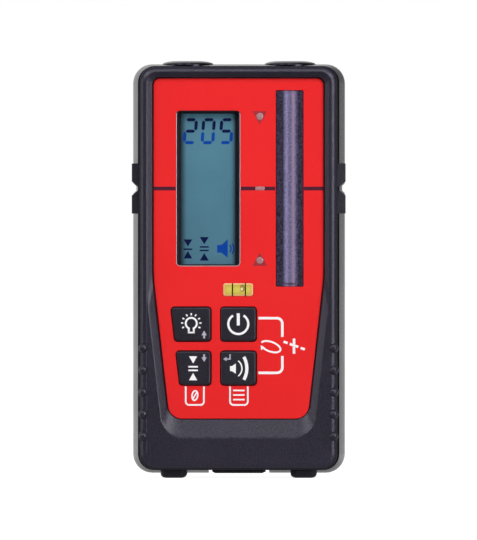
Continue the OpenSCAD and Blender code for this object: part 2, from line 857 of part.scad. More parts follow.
module sensor_lens() {
    face_y = plate_y + sensor_sink;
    color([0.2, 0.18, 0.24]) {
        sensor_panel(0, sensor_r, face_y, inner_y + slice);
        sensor_panel(flange_w, sensor_r, inner_y, inner_y + flange_d);
        intersection() {
            translate([sensor_x, face_y + sqrt(ridge_r * ridge_r - ridge_w * ridge_w / 4),
                level_z - sensor_h / 2 + ridge_in]) cylinder(r = ridge_r, h = sensor_h - 2 * ridge_in);
            block(sensor_x - ridge_w, sensor_x + ridge_w, face_y - ridge_r, face_y + slice,
                level_z - sensor_h / 2, level_z + sensor_h / 2);
        }
    }
}

module sensor_board() {
    color([0.1, 0.35, 0.2]) block(sensor_x - sensor_w / 2, sensor_x + sensor_w / 2, sensor_board_y,
        sensor_board_y + sensor_board_t, level_z - sensor_h / 2, level_z + sensor_h / 2);
}

module photodiodes() {
    pitch = sensor_h / photodiode_count;
    half = photodiode_a / 2;
    color([0.1, 0.1, 0.14]) for (i = [0 : photodiode_count - 1]) {
        diode_z = level_z + (i - (photodiode_count - 1) / 2) * pitch;
        block(sensor_x - half, sensor_x + half, diode_y, sensor_board_y, diode_z - half, diode_z + half);
    }
}

module sensor_header() {
    color([0.1, 0.1, 0.1]) block(sensor_x - header_w / 2, sensor_x + header_w / 2,
        sensor_board_y + sensor_board_t, board_y, level_z - header_h / 2, level_z + header_h / 2);
}

module arrow_light_pipes() {
    color([0.75, 0.6, 0.62]) for (s = [-1, 1]) {
        rod_y(lens_r, plate_y, board_y - led_t - led_air, lens_x, level_z + s * lens_up);
        rod_y(lens_flange_r, inner_y, inner_y + lens_flange_d, lens_x, level_z + s * lens_up);
    }
}

module level_light_pipe() {
    color([0.75, 0.6, 0.62]) {
        level_bar(0, plate_y, board_y - led_t - led_air);
        level_bar(flange_w, inner_y, inner_y + lens_flange_d);
    }
}

module indicator_leds() {
    color([0.9, 0.9, 0.8]) for (s = [-1 : 1])
        block(lens_x - led_w / 2, lens_x + led_w / 2, board_y - led_t, board_y,
            level_z + s * lens_up - led_h / 2, level_z + s * lens_up + led_h / 2);
}

module vial_tube() {
    rod_x(vial_tube_r, vial_x - vial_w / 2 + vial_tube_in, vial_x + vial_w / 2 - vial_tube_in,
        vial_tube_y, vial_z);
}

module vial_body() {
    color([0.84, 0.78, 0.28, 0.7]) difference() {
        union() {
            vial_panel(0, vial_r, plate_y, inner_y + vial_back);
            vial_panel(flange_w, vial_r, inner_y, inner_y + lens_flange_d);
        }
        vial_tube();
    }
}

// Liquid fills the tube but for the bubble against the tube's top
module vial_liquid() {
    color([0.8, 0.85, 0.2, 0.7]) difference() {
        vial_tube();
        translate([vial_x + bubble_right, vial_tube_y, vial_z + vial_tube_r - bubble_r / 2]) sphere(bubble_r);
    }
}

module main_board() {
    color([0.08, 0.3, 0.18]) difference() {
        block(-board_half, board_half, board_y, board_back_y, board_z0, board_z1);
        for (p = board_screws_at)
            rod_y(board_screw_r + screw_hole_gap, board_y - cut, board_back_y + cut, p[0], p[1]);
    }
}

// Processor, crystal, two coils and small parts on the back of the main board
module board_parts() {
    color([0.15, 0.15, 0.16]) {
        board_part(-0.28, chip_up, chip_a, chip_a, chip_t);
        board_part(0.21, crystal_up, crystal_w, crystal_h, coil_t);
        board_part(0.49, coil_up, coil_a, coil_a, coil_t);
        board_part(-0.56, choke_up, choke_w, choke_h, coil_t);
        for (i = [0 : 3]) board_part(0.56, column_up + column_pitch * i, small_l, small_w, small_t);
        for (i = [0 : 3]) board_part(0.07 + 0.17 * i, row_up, small_w, small_l, small_t);
    }
}

// Part of width w, height h and thickness t, its middle above the battery bay and out by a share of the board
module board_part(share, up, w, h, t) {
    x = share * board_half;
    block(x - w / 2, x + w / 2, board_back_y, board_back_y + t, parts_z0 + up - h / 2, parts_z0 + up + h / 2);
}

module board_screws() {
    color([0.6, 0.6, 0.62]) for (p = board_screws_at) {
        difference() {
            union() {
                rod_y(board_screw_r, board_back_y - board_screw_l, board_back_y + slice, p[0], p[1]);
                rod_y(board_head_r, board_back_y, board_back_y + board_head_h, p[0], p[1]);
            }
            hex_socket(p, board_back_y + board_head_h, board_head_r / 2, board_head_h / 2);
        }
    }
}

module buzzer() {
    color([0.1, 0.1, 0.1]) difference() {
        rod_y(buzzer_r, board_back_y, board_back_y + buzzer_h, buzzer_x, buzzer_z);
        rod_y(buzzer_port_r, board_back_y + buzzer_h - buzzer_port_r, board_back_y + buzzer_h + cut,
            buzzer_x, buzzer_z);
    }
}

module switch_body(x, z) {
    half = switch_a / 2;
    difference() {
        block(x - half, x + half, board_y - switch_h, board_y, z - half, z + half);
        rod_y(plunger_r + plunger_gap, board_y - switch_h - cut, board_y - switch_h + plunger_bore, x, z);
    }
}

module switch_bodies() {
    color([0.2, 0.2, 0.2]) for (z = [key_row_low, key_row_high]) {
        switch_body(key_mid_x(z), z);
        switch_body(0, z);
    }
}

module plunger(x, z) {
    color([0.7, 0.2, 0.15]) rod_y(plunger_r, key_back_y, plunger_end_y, x, z);
}

module left_key(z) {
    color([0.15, 0.15, 0.18]) {
        front_view(plate_y - key_proud, key_back_y) left_key_outline(z, 0);
        front_view(inner_y + key_rest_gap, key_back_y) left_key_outline(z, key_flange);
    }
}

module middle_key(z) {
    color([0.15, 0.15, 0.18]) {
        front_view(plate_y - key_proud, key_back_y) middle_key_outline(z, 0);
        front_view(inner_y + key_rest_gap, key_back_y) middle_key_outline(z, key_flange);
    }
}

module light_key() {
    left_key(key_row_high);
}

module power_key() {
    middle_key(key_row_high);
}

module precision_key() {
    left_key(key_row_low);
}

module volume_key() {
    middle_key(key_row_low);
}

module light_plunger() {
    plunger(key_mid_x(key_row_high), key_row_high);
}

module power_plunger() {
    plunger(0, key_row_high);
}

module precision_plunger() {
    plunger(key_mid_x(key_row_low), key_row_low);
}

module volume_plunger() {
    plunger(0, key_row_low);
}

// Upper and lower block with a V between them at the level line
module mark_pad() {
    color([0.1, 0.1, 0.11]) for (s = [0, 1])
        translate([0, 0, level_z]) mirror([0, 0, s]) {
            front_view(split_y - slice, split_y + pad_depth) pad_outline(pad_x0);
            front_view(split_y - pad_front, split_y) pad_outline(pad_front_x);
        }
}

module pad_outline(x0) {
    polygon([[x0, pad_slot], [pad_x1 - pad_notch_w, pad_slot], [pad_x1, pad_slot + pad_notch_h],
        [pad_x1, pad_h / 2], [x0, pad_h / 2]]);
}

module right_mark_pad() {
    mark_pad();
}

module left_mark_pad() {
    mirror([1, 0, 0]) mark_pad();
}

// Foot with its plug in the shell, rounded below
module foot(x) {
    y0 = split_y - foot_front;
    color([0.1, 0.1, 0.11]) hull() {
        for (a = [0 : 30 : 90])
            foot_slice(x, y0, foot_edge_h * (1 - cos(a)), foot_edge_w * (1 - sin(a)));
        foot_slice(x, y0, shell_z0 + foot_sink - slice, 0);
    }
}

module foot_slice(x, y0, z, inset) {
    translate([x - foot_w / 2 + inset, y0 + inset, z]) linear_extrude(slice)
        round_rect(foot_w - 2 * inset, foot_l + foot_front - 2 * inset, foot_r - inset, $fn = 32);
}

module left_foot() {
    foot(-foot_side);
}

module right_foot() {
    foot(foot_side);
}

// Angle on the crown's rounding at which it has the radius r
function crown_angle(r) = acos((r - magnet_flat_r) / (magnet_r - magnet_flat_r));

// Points [radius, height] on the crown, from one angle on its rounding to another
function crown_points(a0, a1) = [for (t = [0 : 0.25 : 1]) let (a = a0 + t * (a1 - a0))
    [magnet_flat_r + (magnet_r - magnet_flat_r) * cos(a), magnet_top - magnet_crown * (1 - sin(a))]];

module magnet_cups() {
    inner_r = magnet_r - magnet_rim;
    edge = crown_points(0, crown_angle(inner_r));
    color([0.2, 0.2, 0.22]) for (s = [-1, 1])
        translate([s * magnet_side, magnet_y, shell_z1 - magnet_sink]) rotate_extrude()
            polygon(concat([[0, 0], [magnet_r, 0]], edge, [[inner_r, magnet_floor], [0, magnet_floor]]));
}

module magnet_discs() {
    disc_r = magnet_r - magnet_rim - fit_gap;
    edge = crown_points(crown_angle(disc_r), 90);
    color([0.35, 0.35, 0.38]) for (s = [-1, 1])
        translate([s * magnet_side, magnet_y, shell_z1 - magnet_sink]) rotate_extrude()
            polygon(concat([[0, magnet_floor], [disc_r, magnet_floor]], edge, [[0, magnet_top]]));
}

module clamp_insert() {
    color([0.75, 0.6, 0.3]) difference() {
        rod_y(insert_r, back_y - thread_depth, back_y, 0, level_z);
        rod_y(thread_r, back_y - thread_depth - cut, back_y + cut, 0, level_z);
    }
}

// Two cells side by side, one of them upside down
module battery_cells() {
    cell_z0 = bay_z0 + contact_t + contact_rise;
    color([0.25, 0.3, 0.4]) {
        translate([-cell_x, cell_y, cell_z0]) cell();
        translate([cell_x, cell_y, cell_z0 + cell_l]) mirror([0, 0, 1]) cell();
    }
}

module cell() {
    cylinder(r = cell_d / 2, h = cell_l - nub_h);
    cylinder(r = nub_r, h = cell_l);
}

// Bent contact strip standing on a plate at z = 0
module contact_leaf() {
    rise = contact_t + contact_rise;
    foot_z = contact_t / 2;
    inner_foot = leaf_foot - 2 * leaf_t;
    inner_top = leaf_top - leaf_t / 2;
    front_view(-leaf_half_d, leaf_half_d) polygon([[-leaf_foot, foot_z], [-leaf_top, rise], [leaf_top, rise],
        [leaf_foot, foot_z], [inner_foot, foot_z], [inner_top, rise - leaf_t],
        [-inner_top, rise - leaf_t], [-inner_foot, foot_z]]);
}

module contact_bridge() {
    color([0.75, 0.75, 0.72]) translate([0, cell_y, bay_z0]) {
        block(-cell_x - contact_half_w, cell_x + contact_half_w, -contact_half_d, contact_half_d,
            0, contact_t);
        for (s = [-1, 1]) translate([s * cell_x, 0, 0]) contact_leaf();
    }
}

module contact_tabs() {
    color([0.75, 0.75, 0.72]) for (s = [-1, 1])
        translate([s * cell_x, cell_y, bay_z1]) mirror([0, 0, 1]) {
            block(-contact_half_w, contact_half_w, -contact_half_d, contact_half_d, 0, contact_t);
            contact_leaf();
        }
}

module hinge_pin() {
    color([0.7, 0.7, 0.72]) rod_x(pin_r, -door_half - door_gap - pin_seat + pin_end_gap,
        door_half + door_gap + pin_seat - pin_end_gap, pin_y, pin_z);
}

module battery_door() {
    color([0.13, 0.13, 0.15]) difference() {
        union() {
            block(-door_half, door_half, door_y, back_y, door_z0, pin_z);
            rod_x(barrel_r, -door_half, door_half, pin_y, pin_z);
        }
        rod_x(pin_r + pin_gap, -door_half - cut, door_half + cut, pin_y, pin_z);
        block(-latch_half - latch_gap, latch_half + latch_gap, back_y - latch_sink, back_y + cut,
            door_z0 - cut, door_z0 + latch_h + latch_travel + 2 * latch_gap);
    }
}

module door_seal() {
    inner = seal_in;
    outer = seal_in + seal_w;
    color([0.3, 0.3, 0.32]) difference() {
        block(-bay_half - outer, bay_half + outer, door_y - seal_t, door_y, bay_z0 - outer, bay_z1 + outer);
        block(-bay_half - inner, bay_half + inner, door_y - seal_t - cut, door_y + cut,
            bay_z0 - inner, bay_z1 + inner);
    }
}

// Slider in the outer face of the door, its tongue reaching forwards in the bottom channel
module door_latch() {
    color([0.08, 0.08, 0.09]) {
        block(-latch_half, latch_half, latch_y, latch_y + latch_plate_t, latch_z0, door_z0 + latch_h);
        block(-latch_half, latch_half, door_y + fit_gap, latch_y + latch_plate_t, latch_z0,
            latch_z0 + latch_tab_h);
        latch_tongue();
        for (i = [0 : 2])
            rod_x(latch_ridge_r, latch_ridge_in - latch_half, latch_half - latch_ridge_in,
                latch_y + latch_plate_t, door_z0 + latch_h - latch_ridge_in - latch_ridge_pitch * i);
    }
}

// Flat tongue with lower corners cut away, seen under the front shell
module latch_tongue() {
    front_view(channel_y + latch_tongue_gap, door_y + cut) polygon([
        [-latch_half, latch_z0 + latch_tongue_h], [-latch_half, latch_z0 + latch_tongue_h / 2],
        [latch_tongue_h - latch_half, latch_z0], [latch_half - latch_tongue_h, latch_z0],
        [latch_half, latch_z0 + latch_tongue_h / 2], [latch_half, latch_z0 + latch_tongue_h]]);
}

front_shell();
rear_shell();
seal_gasket();
housing_screws();
faceplate();
display_window();
lcd_frame();
lcd_panel();
lcd_backlight();
lcd_connectors();
sensor_lens();
sensor_board();
photodiodes();
sensor_header();
arrow_light_pipes();
level_light_pipe();
indicator_leds();
vial_body();
vial_liquid();
main_board();
board_parts();
board_screws();
buzzer();
switch_bodies();
light_key();
power_key();
precision_key();
volume_key();
light_plunger();
power_plunger();
precision_plunger();
volume_plunger();
left_mark_pad();
right_mark_pad();
left_foot();
right_foot();
magnet_cups();
magnet_discs();
clamp_insert();
battery_cells();
contact_bridge();
contact_tabs();
hinge_pin();
battery_door();
door_seal();
door_latch();
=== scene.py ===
import math

import bpy
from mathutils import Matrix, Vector
from mathutils.geometry import tessellate_polygon


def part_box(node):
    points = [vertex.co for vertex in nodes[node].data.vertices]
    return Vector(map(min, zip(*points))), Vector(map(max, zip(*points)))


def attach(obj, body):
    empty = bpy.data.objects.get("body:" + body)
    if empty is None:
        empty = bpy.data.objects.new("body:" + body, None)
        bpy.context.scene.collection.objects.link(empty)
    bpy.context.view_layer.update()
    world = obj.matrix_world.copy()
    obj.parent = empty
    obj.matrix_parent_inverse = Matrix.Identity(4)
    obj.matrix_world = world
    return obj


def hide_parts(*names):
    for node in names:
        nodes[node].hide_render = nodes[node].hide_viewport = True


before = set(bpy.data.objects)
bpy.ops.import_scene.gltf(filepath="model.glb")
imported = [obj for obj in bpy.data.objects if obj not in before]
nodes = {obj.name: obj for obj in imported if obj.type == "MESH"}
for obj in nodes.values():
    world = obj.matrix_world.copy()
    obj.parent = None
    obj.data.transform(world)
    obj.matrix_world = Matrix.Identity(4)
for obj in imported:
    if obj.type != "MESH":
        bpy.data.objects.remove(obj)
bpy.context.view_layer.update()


# Rear shell: the deep black tub that carries the board, the battery bay, the magnets and the clamp insert.
# Injection moulded in ABS with a fine spark-eroded grain outside; four screws from the back hold it.


def srgb(code):
    """Linear colour of a colour written as it looks on a screen, #rrggbb."""
    parts = [int(code[i:i + 2], 16) / 255 for i in (1, 3, 5)]
    return tuple(c / 12.92 if c <= 0.04045 else ((c + 0.055) / 1.055) ** 2.4 for c in parts) + (1.0,)


class Signal:
    """One output in a finish; sums, products and comparisons of values add Math nodes."""

    def __init__(self, finish, socket):
        self.finish = finish
        self.socket = socket

    def math(self, operation, a, b):
        return self.finish.add("ShaderNodeMath", {"operation": operation}, {0: a, 1: b})

    def __add__(self, other):
        return self.math("ADD", self, other)

    def __sub__(self, other):
        return self.math("SUBTRACT", self, other)

    def __rsub__(self, other):
        return self.math("SUBTRACT", other, self)

    def __mul__(self, other):
        return self.math("MULTIPLY", self, other)

    def __gt__(self, other):
        return self.math("GREATER_THAN", self, other)

    def __lt__(self, other):
        return self.math("LESS_THAN", self, other)

    __radd__ = __add__
    __rmul__ = __mul__


class Tree:
    """The nodes of a material or of the surround."""

    def __init__(self, tree):
        self.tree = tree

    def add(self, kind, settings, inputs, output=0):
        node = self.tree.nodes.new(kind)
        for key, value in settings.items():
            setattr(node, key, value)
        for key, value in inputs.items():
            if isinstance(value, Signal):
                self.tree.links.new(value.socket, node.inputs[key])
            else:
                node.inputs[key].default_value = value
        return Signal(self, node.outputs[output])

    def place(self):
        """Where a point lies on the object, in millimetres."""
        spot = self.add("ShaderNodeTexCoord", {}, {}, "Object")
        return self.add("ShaderNodeVectorMath", {"operation": "SCALE"}, {0: spot, "Scale": 1000.0})

    def across(self, place, axis):
        return self.add("ShaderNodeSeparateXYZ", {}, {0: place}, axis)

    def noise(self, place, scale, detail=2.0, rough=0.5):
        return self.add("ShaderNodeTexNoise", {},
                        {"Vector": place, "Scale": scale, "Detail": detail, "Roughness": rough})

    def blend(self, mask, low, high):
        return self.add("ShaderNodeMix", {"data_type": "RGBA"}, {0: mask, 6: low, 7: high}, 2)

    def ease(self, value, start, end):
        """0 before start, 1 after end, smooth between."""
        return self.add("ShaderNodeMapRange", {"interpolation_type": "SMOOTHSTEP"},
                        {0: value, 1: start, 2: end})

    def larger(self, a, b):
        return self.add("ShaderNodeMath", {"operation": "MAXIMUM"}, {0: a, 1: b})

    def seen(self, behind):
        """1 for what the camera sees straight, through something clear, or mirrored from behind."""
        kinds = ("Is Camera Ray", "Is Transmission Ray", "Is Glossy Ray")
        straight, through, mirrored = [self.add("ShaderNodeLightPath", {}, {}, kind) for kind in kinds]
        return self.larger(self.larger(straight, through), mirrored * behind)


class Finish(Tree):
    """A procedural material. Even values sit on the shader's sockets, the others come from signals."""

    def __init__(self, name, even):
        self.material = bpy.data.materials.new(name)
        self.material.use_nodes = True
        super().__init__(self.material.node_tree)
        self.shader = self.tree.nodes["Principled BSDF"]
        for socket, value in even.items():
            self.shader.inputs[socket].default_value = value

    def feed(self, socket, signal):
        self.tree.links.new(signal.socket, self.shader.inputs[socket])

    def relief(self, height, depth):
        """Bumps the surface by a height from 0 to 1, depth in millimetres."""
        bump = self.add("ShaderNodeBump", {}, {"Strength": 1.0, "Distance": depth / 1000, "Height": height})
        self.feed("Normal", bump)


def moulded(name, dark, light, rough=0.5, grain=2.4, depth=0.05, gloss=0.35):
    """Moulded plastic or rubber: a fine eroded grain, with faint clouds in its colour and gloss."""
    finish = Finish(name, {"Specular IOR Level": gloss, "Specular Tint": (0.9, 0.87, 1, 1)})
    place = finish.place()
    cloud = finish.noise(place, 0.09, 3.0)
    speck = finish.ease(finish.noise(place, grain, 3.0, 0.6), 0.36, 0.64)
    finish.feed("Base Color", finish.blend(cloud * 0.4 + speck * 0.6, srgb(dark), srgb(light)))
    finish.feed("Roughness", rough - 0.08 + 0.1 * cloud + 0.06 * speck)
    finish.relief(speck, depth)
    return finish.material


def dress(node, material, bevel=0.0):
    """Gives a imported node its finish, and where asked a small rounding on its moulded edges."""
    piece = nodes[node]
    piece.data.materials.clear()
    piece.data.materials.append(material)
    if bevel:
        weld = piece.modifiers.new("join_faces", "WELD")
        weld.merge_threshold = 1e-6
        soften = piece.modifiers.new("edge_rounding", "BEVEL")
        soften.width = bevel / 1000
        soften.segments = 2
        soften.angle_limit = math.radians(40)
        soften.use_clamp_overlap = True


shell_black = moulded("shell_black", "#100e16", "#282536", 0.34, 1.7, 0.02, 0.5)
smooth_black = moulded("smooth_black", "#14121a", "#221f2c", 0.3, 1.7, 0.004, 0.5)
dress("rear_shell", smooth_black)


# Front shell: black ABS dish with a raised rounded rim, a broad flat chin and five grip ribs at each side.
# One moulding; its slopes run down to the pocket of the red plate, and its floor is open behind each piece.

half_turn = math.pi


def rounded(corners, steps=8):
    """Closed outline through corners [x, z, radius]. On a straight run the radius is a length of it."""
    outline = []
    for i, (x, z, radius) in enumerate(corners):
        corner = Vector((x, z))
        back = (Vector(corners[i - 1][:2]) - corner).normalized()
        ahead = (Vector(corners[(i + 1) % len(corners)][:2]) - corner).normalized()
        weight = math.sqrt((1 - back.dot(ahead)) / 2)
        open_half = math.sqrt(max(0.0, (1 + back.dot(ahead)) / 2))
        reach = radius if weight > 0.9999 else radius * open_half / weight
        for k in range(steps + 1):
            s = k / steps
            parts = ((1 - s) ** 2, 2 * weight * s * (1 - s), s * s)
            spot = ((corner + back * reach) * parts[0] + corner * parts[1]
                    + (corner + ahead * reach) * parts[2])
            outline.append(tuple(spot / sum(parts)))
    return outline


def slab(x0, x1, z0, z1, radius):
    """A rounded rectangle seen from the front, as a function of how much it grows."""
    def outline(grow=0.0):
        r = max(radius + grow, 0.05)
        return rounded([(x1 + grow, z0 - grow, r), (x1 + grow, z1 + grow, r),
                        (x0 - grow, z1 + grow, r), (x0 - grow, z0 - grow, r)])
    return outline


def disc(x, z, radius, steps=32):
    """A circle seen from the front, as a function of how much it grows."""
    def outline(grow=0.0):
        r = radius + grow
        return [(x + r * math.cos(2 * half_turn * k / steps), z + r * math.sin(2 * half_turn * k / steps))
                for k in range(steps)]
    return outline


def side_box(node, inset=0.0):
    """Left, right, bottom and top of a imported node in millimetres."""
    low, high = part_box(node)
    return low.x * 1000 + inset, high.x * 1000 - inset, low.z * 1000 + inset, high.z * 1000 - inset


class Shape:
    """A mesh in the making, in millimetres, with the front towards -Y."""

    def __init__(self):
        self.points = []
        self.faces = []
        self.paint = []

    def ring(self, outline, y):
        """Points of an outline at a depth y, which may be a function of the height z."""
        first = len(self.points)
        self.points += [(x, y(z) if callable(y) else y, z) for x, z in outline]
        return list(range(first, len(self.points)))

    def face(self, corners, paint=0):
        self.faces.append(tuple(corners))
        self.paint.append(paint)

    def band(self, a, b, paint=0):
        for i in range(len(a)):
            k = (i + 1) % len(a)
            self.face((a[i], a[k], b[k], b[i]), paint)

    def loft(self, levels, paint=0):
        """Skin through [outline, y] levels with matching points; gives the first and last ring."""
        rings = [self.ring(outline, y) for outline, y in levels]
        for a, b in zip(rings, rings[1:]):
            self.band(a, b, paint)
        return rings[0], rings[-1]

    def sheet(self, loops, paint=0):
        """Flat face inside the first ring, without the areas of the other rings."""
        order = [p for loop in loops for p in loop]
        for triangle in tessellate_polygon([[Vector(self.points[p]) for p in loop] for loop in loops]):
            self.face([order[t] for t in triangle], paint)

    def block(self, levels, paint=0):
        """A closed body through [outline, y] levels, with a lid at both ends."""
        first, last = self.loft(levels, paint)
        self.face(first, paint)
        self.face(last, paint)

    def piece(self, name, materials, body, slot, *stands_for):
        """Makes the object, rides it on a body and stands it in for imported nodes, if any are named."""
        sharp_from = math.radians(50)
        mesh = bpy.data.meshes.new(name)
        mesh.from_pydata([(x / 1000, y / 1000, z / 1000) for x, y, z in self.points], [], self.faces)
        for material in materials:
            mesh.materials.append(material)
        mesh.polygons.foreach_set("material_index", self.paint)
        mesh.polygons.foreach_set("use_smooth", [True] * len(self.faces))
        mesh.update()
        made = bpy.data.objects.new(name, mesh)
        bpy.context.scene.collection.objects.link(made)
        bpy.context.view_layer.objects.active = made
        with bpy.context.temp_override(object=made, active_object=made, selected_objects=[made]):
            bpy.ops.object.mode_set(mode="EDIT")
            bpy.ops.mesh.select_all(action="SELECT")
            bpy.ops.mesh.normals_make_consistent(inside=False)
            bpy.ops.object.mode_set(mode="OBJECT")
        mesh.set_sharp_from_angle(angle=sharp_from)
        even_out = made.modifiers.new("flat_faces", "WEIGHTED_NORMAL")
        even_out.keep_sharp = True
        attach(made, body)
        if stands_for:
            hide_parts(*stands_for)


shell_half, shell_low, shell_high = 37.2, 3.3, 155.1


def lip(inset=0.0):
    """Outline of the front shell. An inset has less room at the top, and a skirt (below 0) at both ends."""
    if inset > 0:
        top, bottom = min(1.17 * inset, 1.5 + 0.17 * inset), inset
    else:
        top, bottom = 0.15 * inset, 0.4 * inset
    half, low, high, r = shell_half - inset, shell_low + bottom, shell_high - top, 5.6 - 0.6 * inset
    return rounded([(half, low, r), (half, 70, 5), (half, high, r),
                    (-half, high, r), (-half, 70, 5), (-half, low, r)])


plate_side, plate_low, plate_high = 32.05, 22.4, 150.7
side_bend, bend_r, side_lean = 76, 60, 0.113


def tapered(half, low, high, bend, low_r, high_r):
    """Outline with straight upper sides that lean inwards below the bend."""
    foot = half - side_lean * (bend - low)
    return rounded([(foot, low, low_r), (half, bend, bend_r), (half, high, high_r),
                    (-half, high, high_r), (-half, bend, bend_r), (-foot, low, low_r)])


def plate(grow=0.0):
    """Outline of the red plate."""
    return tapered(plate_side + grow, plate_low - grow, plate_high + grow, side_bend,
                   5.2 + grow, 2.5 + grow)


def plate_half(z):
    """Half the width of the red plate at a height."""
    return plate_side - side_lean * max(0.0, side_bend - z)


key_half_h, key_half_w, key_r = 6.42, 6.7, 1.3


def left_key(z):
    """A left key: its outer side runs along the side of the plate."""
    inner, margin = -10.4, 5.25

    def outline(grow=0.0):
        r, high, low = key_r + grow, z + key_half_h + grow, z - key_half_h - grow
        high_x, low_x = [margin - grow - plate_half(height) for height in (high, low)]
        return rounded([(inner + grow, low, r), (inner + grow, high, r),
                        (high_x, high, r), (low_x, low, r)])
    return outline


row_high, row_low = [sum(side_box(key)[2:]) / 2 for key in ("power_key", "volume_key")]
keys = {"light_key": left_key(row_high), "precision_key": left_key(row_low),
        "power_key": slab(-key_half_w, key_half_w, row_high - key_half_h, row_high + key_half_h, key_r),
        "volume_key": slab(-key_half_w, key_half_w, row_low - key_half_h, row_low + key_half_h, key_r)}
display = slab(*side_box("display_window"), 1.5)
sensor = slab(*side_box("sensor_lens", 0.8), 0.5)
vial = slab(*side_box("vial_body", 0.8), 0.9)
level, lamp_x, lamp_up = 109.19, 8.05, 27.1
lamps = [disc(lamp_x, level + up, 1.4) for up in (lamp_up, -lamp_up)]
lamp_bar = slab(6.35, 9.75, level - 0.7, level + 0.7, 0.25)
shell_openings = [display(-0.8), sensor(0.05), vial(0.05), lamp_bar(0.05)]
shell_openings += [outline(0.05) for outline in lamps] + [outline(0.25) for outline in keys.values()]
rim_y, plate_face, floor_front, floor_back, joint_y = -16.45, -14.0, -13.0, -11.0, -8.0


def ramp(value, start, end):
    """0 before start, 1 after end, even between."""
    return min(1.0, max(0.0, (value - start) / (end - start)))


def sunk(z):
    """How far the face lies below the rim: nothing at the lower edge, a little along the sides."""
    return 0.1 * ramp(z, 7, 21)


dish = Shape()
crest = tapered(34.45, 14.5, 153.1, 66, 9.5, 4)
pocket = plate(0.3)
rim_in, rim_deep, matt_steps = 2.45, 2.1, 4
bends = [half_turn / 2 * k / 9 for k in range(10)]
rounding = [(lip(rim_in * (1 - math.cos(a))), rim_y + rim_deep * (1 - math.sin(a))) for a in bends]
profile = rounding[matt_steps:]
for inset, share in ((2.53, 0.25), (2.61, 0.6), (2.7, 1.0)):
    profile.append((lip(inset), lambda z, share=share: rim_y + share * sunk(z)))
slope_steps = (0, 0.03, 0.06, 0.1, 0.15, 0.3, 0.5, 0.7, 0.85, 0.9, 1)
for s in slope_steps:
    even = (s * s / 0.3 if s < 0.15 else s - 0.075) / 0.925
    step = 0.45 * even if s < 0.95 else 1.0
    slope = [(c[0] + s * (p[0] - c[0]), c[1] + s * (p[1] - c[1])) for c, p in zip(crest, pocket)]

    def depth(z, even=even, step=step):
        """The slope's depth: an even fall at the chin, flat at first and then steep higher up."""
        high = ramp(z, 30, 44)
        start = rim_y + sunk(z)
        return start + (plate_face - start) * ((1 - high) * even + high * step)
    profile.append((slope, depth))
profile.append((pocket, floor_front))
bend, floor_edge = dish.loft(profile)
# Painted shade: the skirt at the joint takes a near-black matt finish, darker than the shell, standing in
# for the shade in the gap between the shells.
skirt, skirt_y = lip(-0.75), joint_y - 0.6
split, wall_foot = dish.loft([(skirt, joint_y), (skirt, skirt_y), (lip(), skirt_y)], 1)
wall_top = dish.loft(rounding[:matt_steps], 2)
dish.band(wall_foot, wall_top[0], 2)
dish.band(wall_top[1], bend, 2)
inside, inner_edge = dish.loft([(lip(3.0), joint_y), (lip(3.0), floor_back)])
dish.band(split, inside)
walls = [dish.loft([(outline, floor_front), (outline, floor_back)]) for outline in shell_openings]
dish.sheet([floor_edge] + [front for front, back in walls])
dish.sheet([inner_edge] + [back for front, back in walls])
rib_x, rib_low, rib_pitch, rib_r, rib_tip = 35.85, 15.9, 8.3, 1.9, -17.4
for side in (-1, 1):
    for i in range(5):
        x, z = side * rib_x, rib_low + rib_pitch * i
        dome = [(disc(x, z, rib_r * math.sin(a), 24)(), rib_tip + rib_r * (1 - math.cos(a)))
                for a in [half_turn / 2 * k / 6 for k in range(1, 7)]]
        tip, brow = dish.loft(dome[:4])
        dish.face(tip)
        side_top, foot = dish.loft(dome[4:] + [(disc(x, z, rib_r, 24)(), joint_y)], 2)
        dish.band(brow, side_top, 2)
        dish.face(foot, 2)
joint_painted_shade = moulded("joint_painted_shade", "#070609", "#0d0c11", 0.6, 1.7, 0.02, 0.1)
wall_black = moulded("wall_black", "#121018", "#2a2738", 0.55, 1.7, 0.02, 0.14)
dish.piece("front_shell_dish", [shell_black, joint_painted_shade, wall_black], "housing", "housing_black",
           "front_shell")


# Seal between the shells: a soft grey silicone cord lying in a groove of the rear shell.
# It is pressed flat where the two mouldings meet, so only its edge would ever show.

dress("seal_gasket", moulded("silicone_grey", "#5d5f63", "#7b7d80", 0.6, 1.2, 0.03))


# Housing screws: four zinc-plated pan-head screws, driven from the back into the front shell's bosses.
# Their heads sit deep in counterbores; plating gives them a slightly blotchy, brushed shine.


def plated(name, dark, light, rough, stretch=(1.0, 1.0, 1.0)):
    """Plated or rolled metal: a blotchy shine, with marks drawn out along one direction."""
    finish = Finish(name, {"Metallic": 1.0})
    place = finish.add("ShaderNodeVectorMath", {"operation": "MULTIPLY"},
                       {0: finish.place(), 1: stretch})
    blotch = finish.noise(place, 0.6, 4.0)
    marks = finish.noise(place, 7.0, 2.0)
    finish.feed("Base Color", finish.blend(blotch, srgb(dark), srgb(light)))
    finish.feed("Roughness", rough - 0.08 + 0.16 * marks)
    finish.relief(marks, 0.01)
    return finish.material


zinc_steel = plated("zinc_steel", "#8b8d90", "#c3c4c4", 0.3)
dress("housing_screws", zinc_steel, bevel=0.12)


# Faceplate: the red panel in the dish, a stamped and painted sheet bonded to the shell's floor.
# Its cut edges are slightly rolled, and the window, sensor, keys, vial and lamps come through it.

panel_red = Finish("panel_red", {"Specular IOR Level": 0.1})
spot = panel_red.place()
peel = panel_red.noise(spot, 1.6, 2.0)
cloud = panel_red.noise(spot, 0.03, 2.0)
panel_red.feed("Base Color", panel_red.blend(cloud * 0.8 + peel * 0.2, srgb("#dd2124"), srgb("#ee2b2c")))
panel_red.feed("Roughness", 0.4 + 0.12 * peel)
panel_red.relief(peel, 0.012)

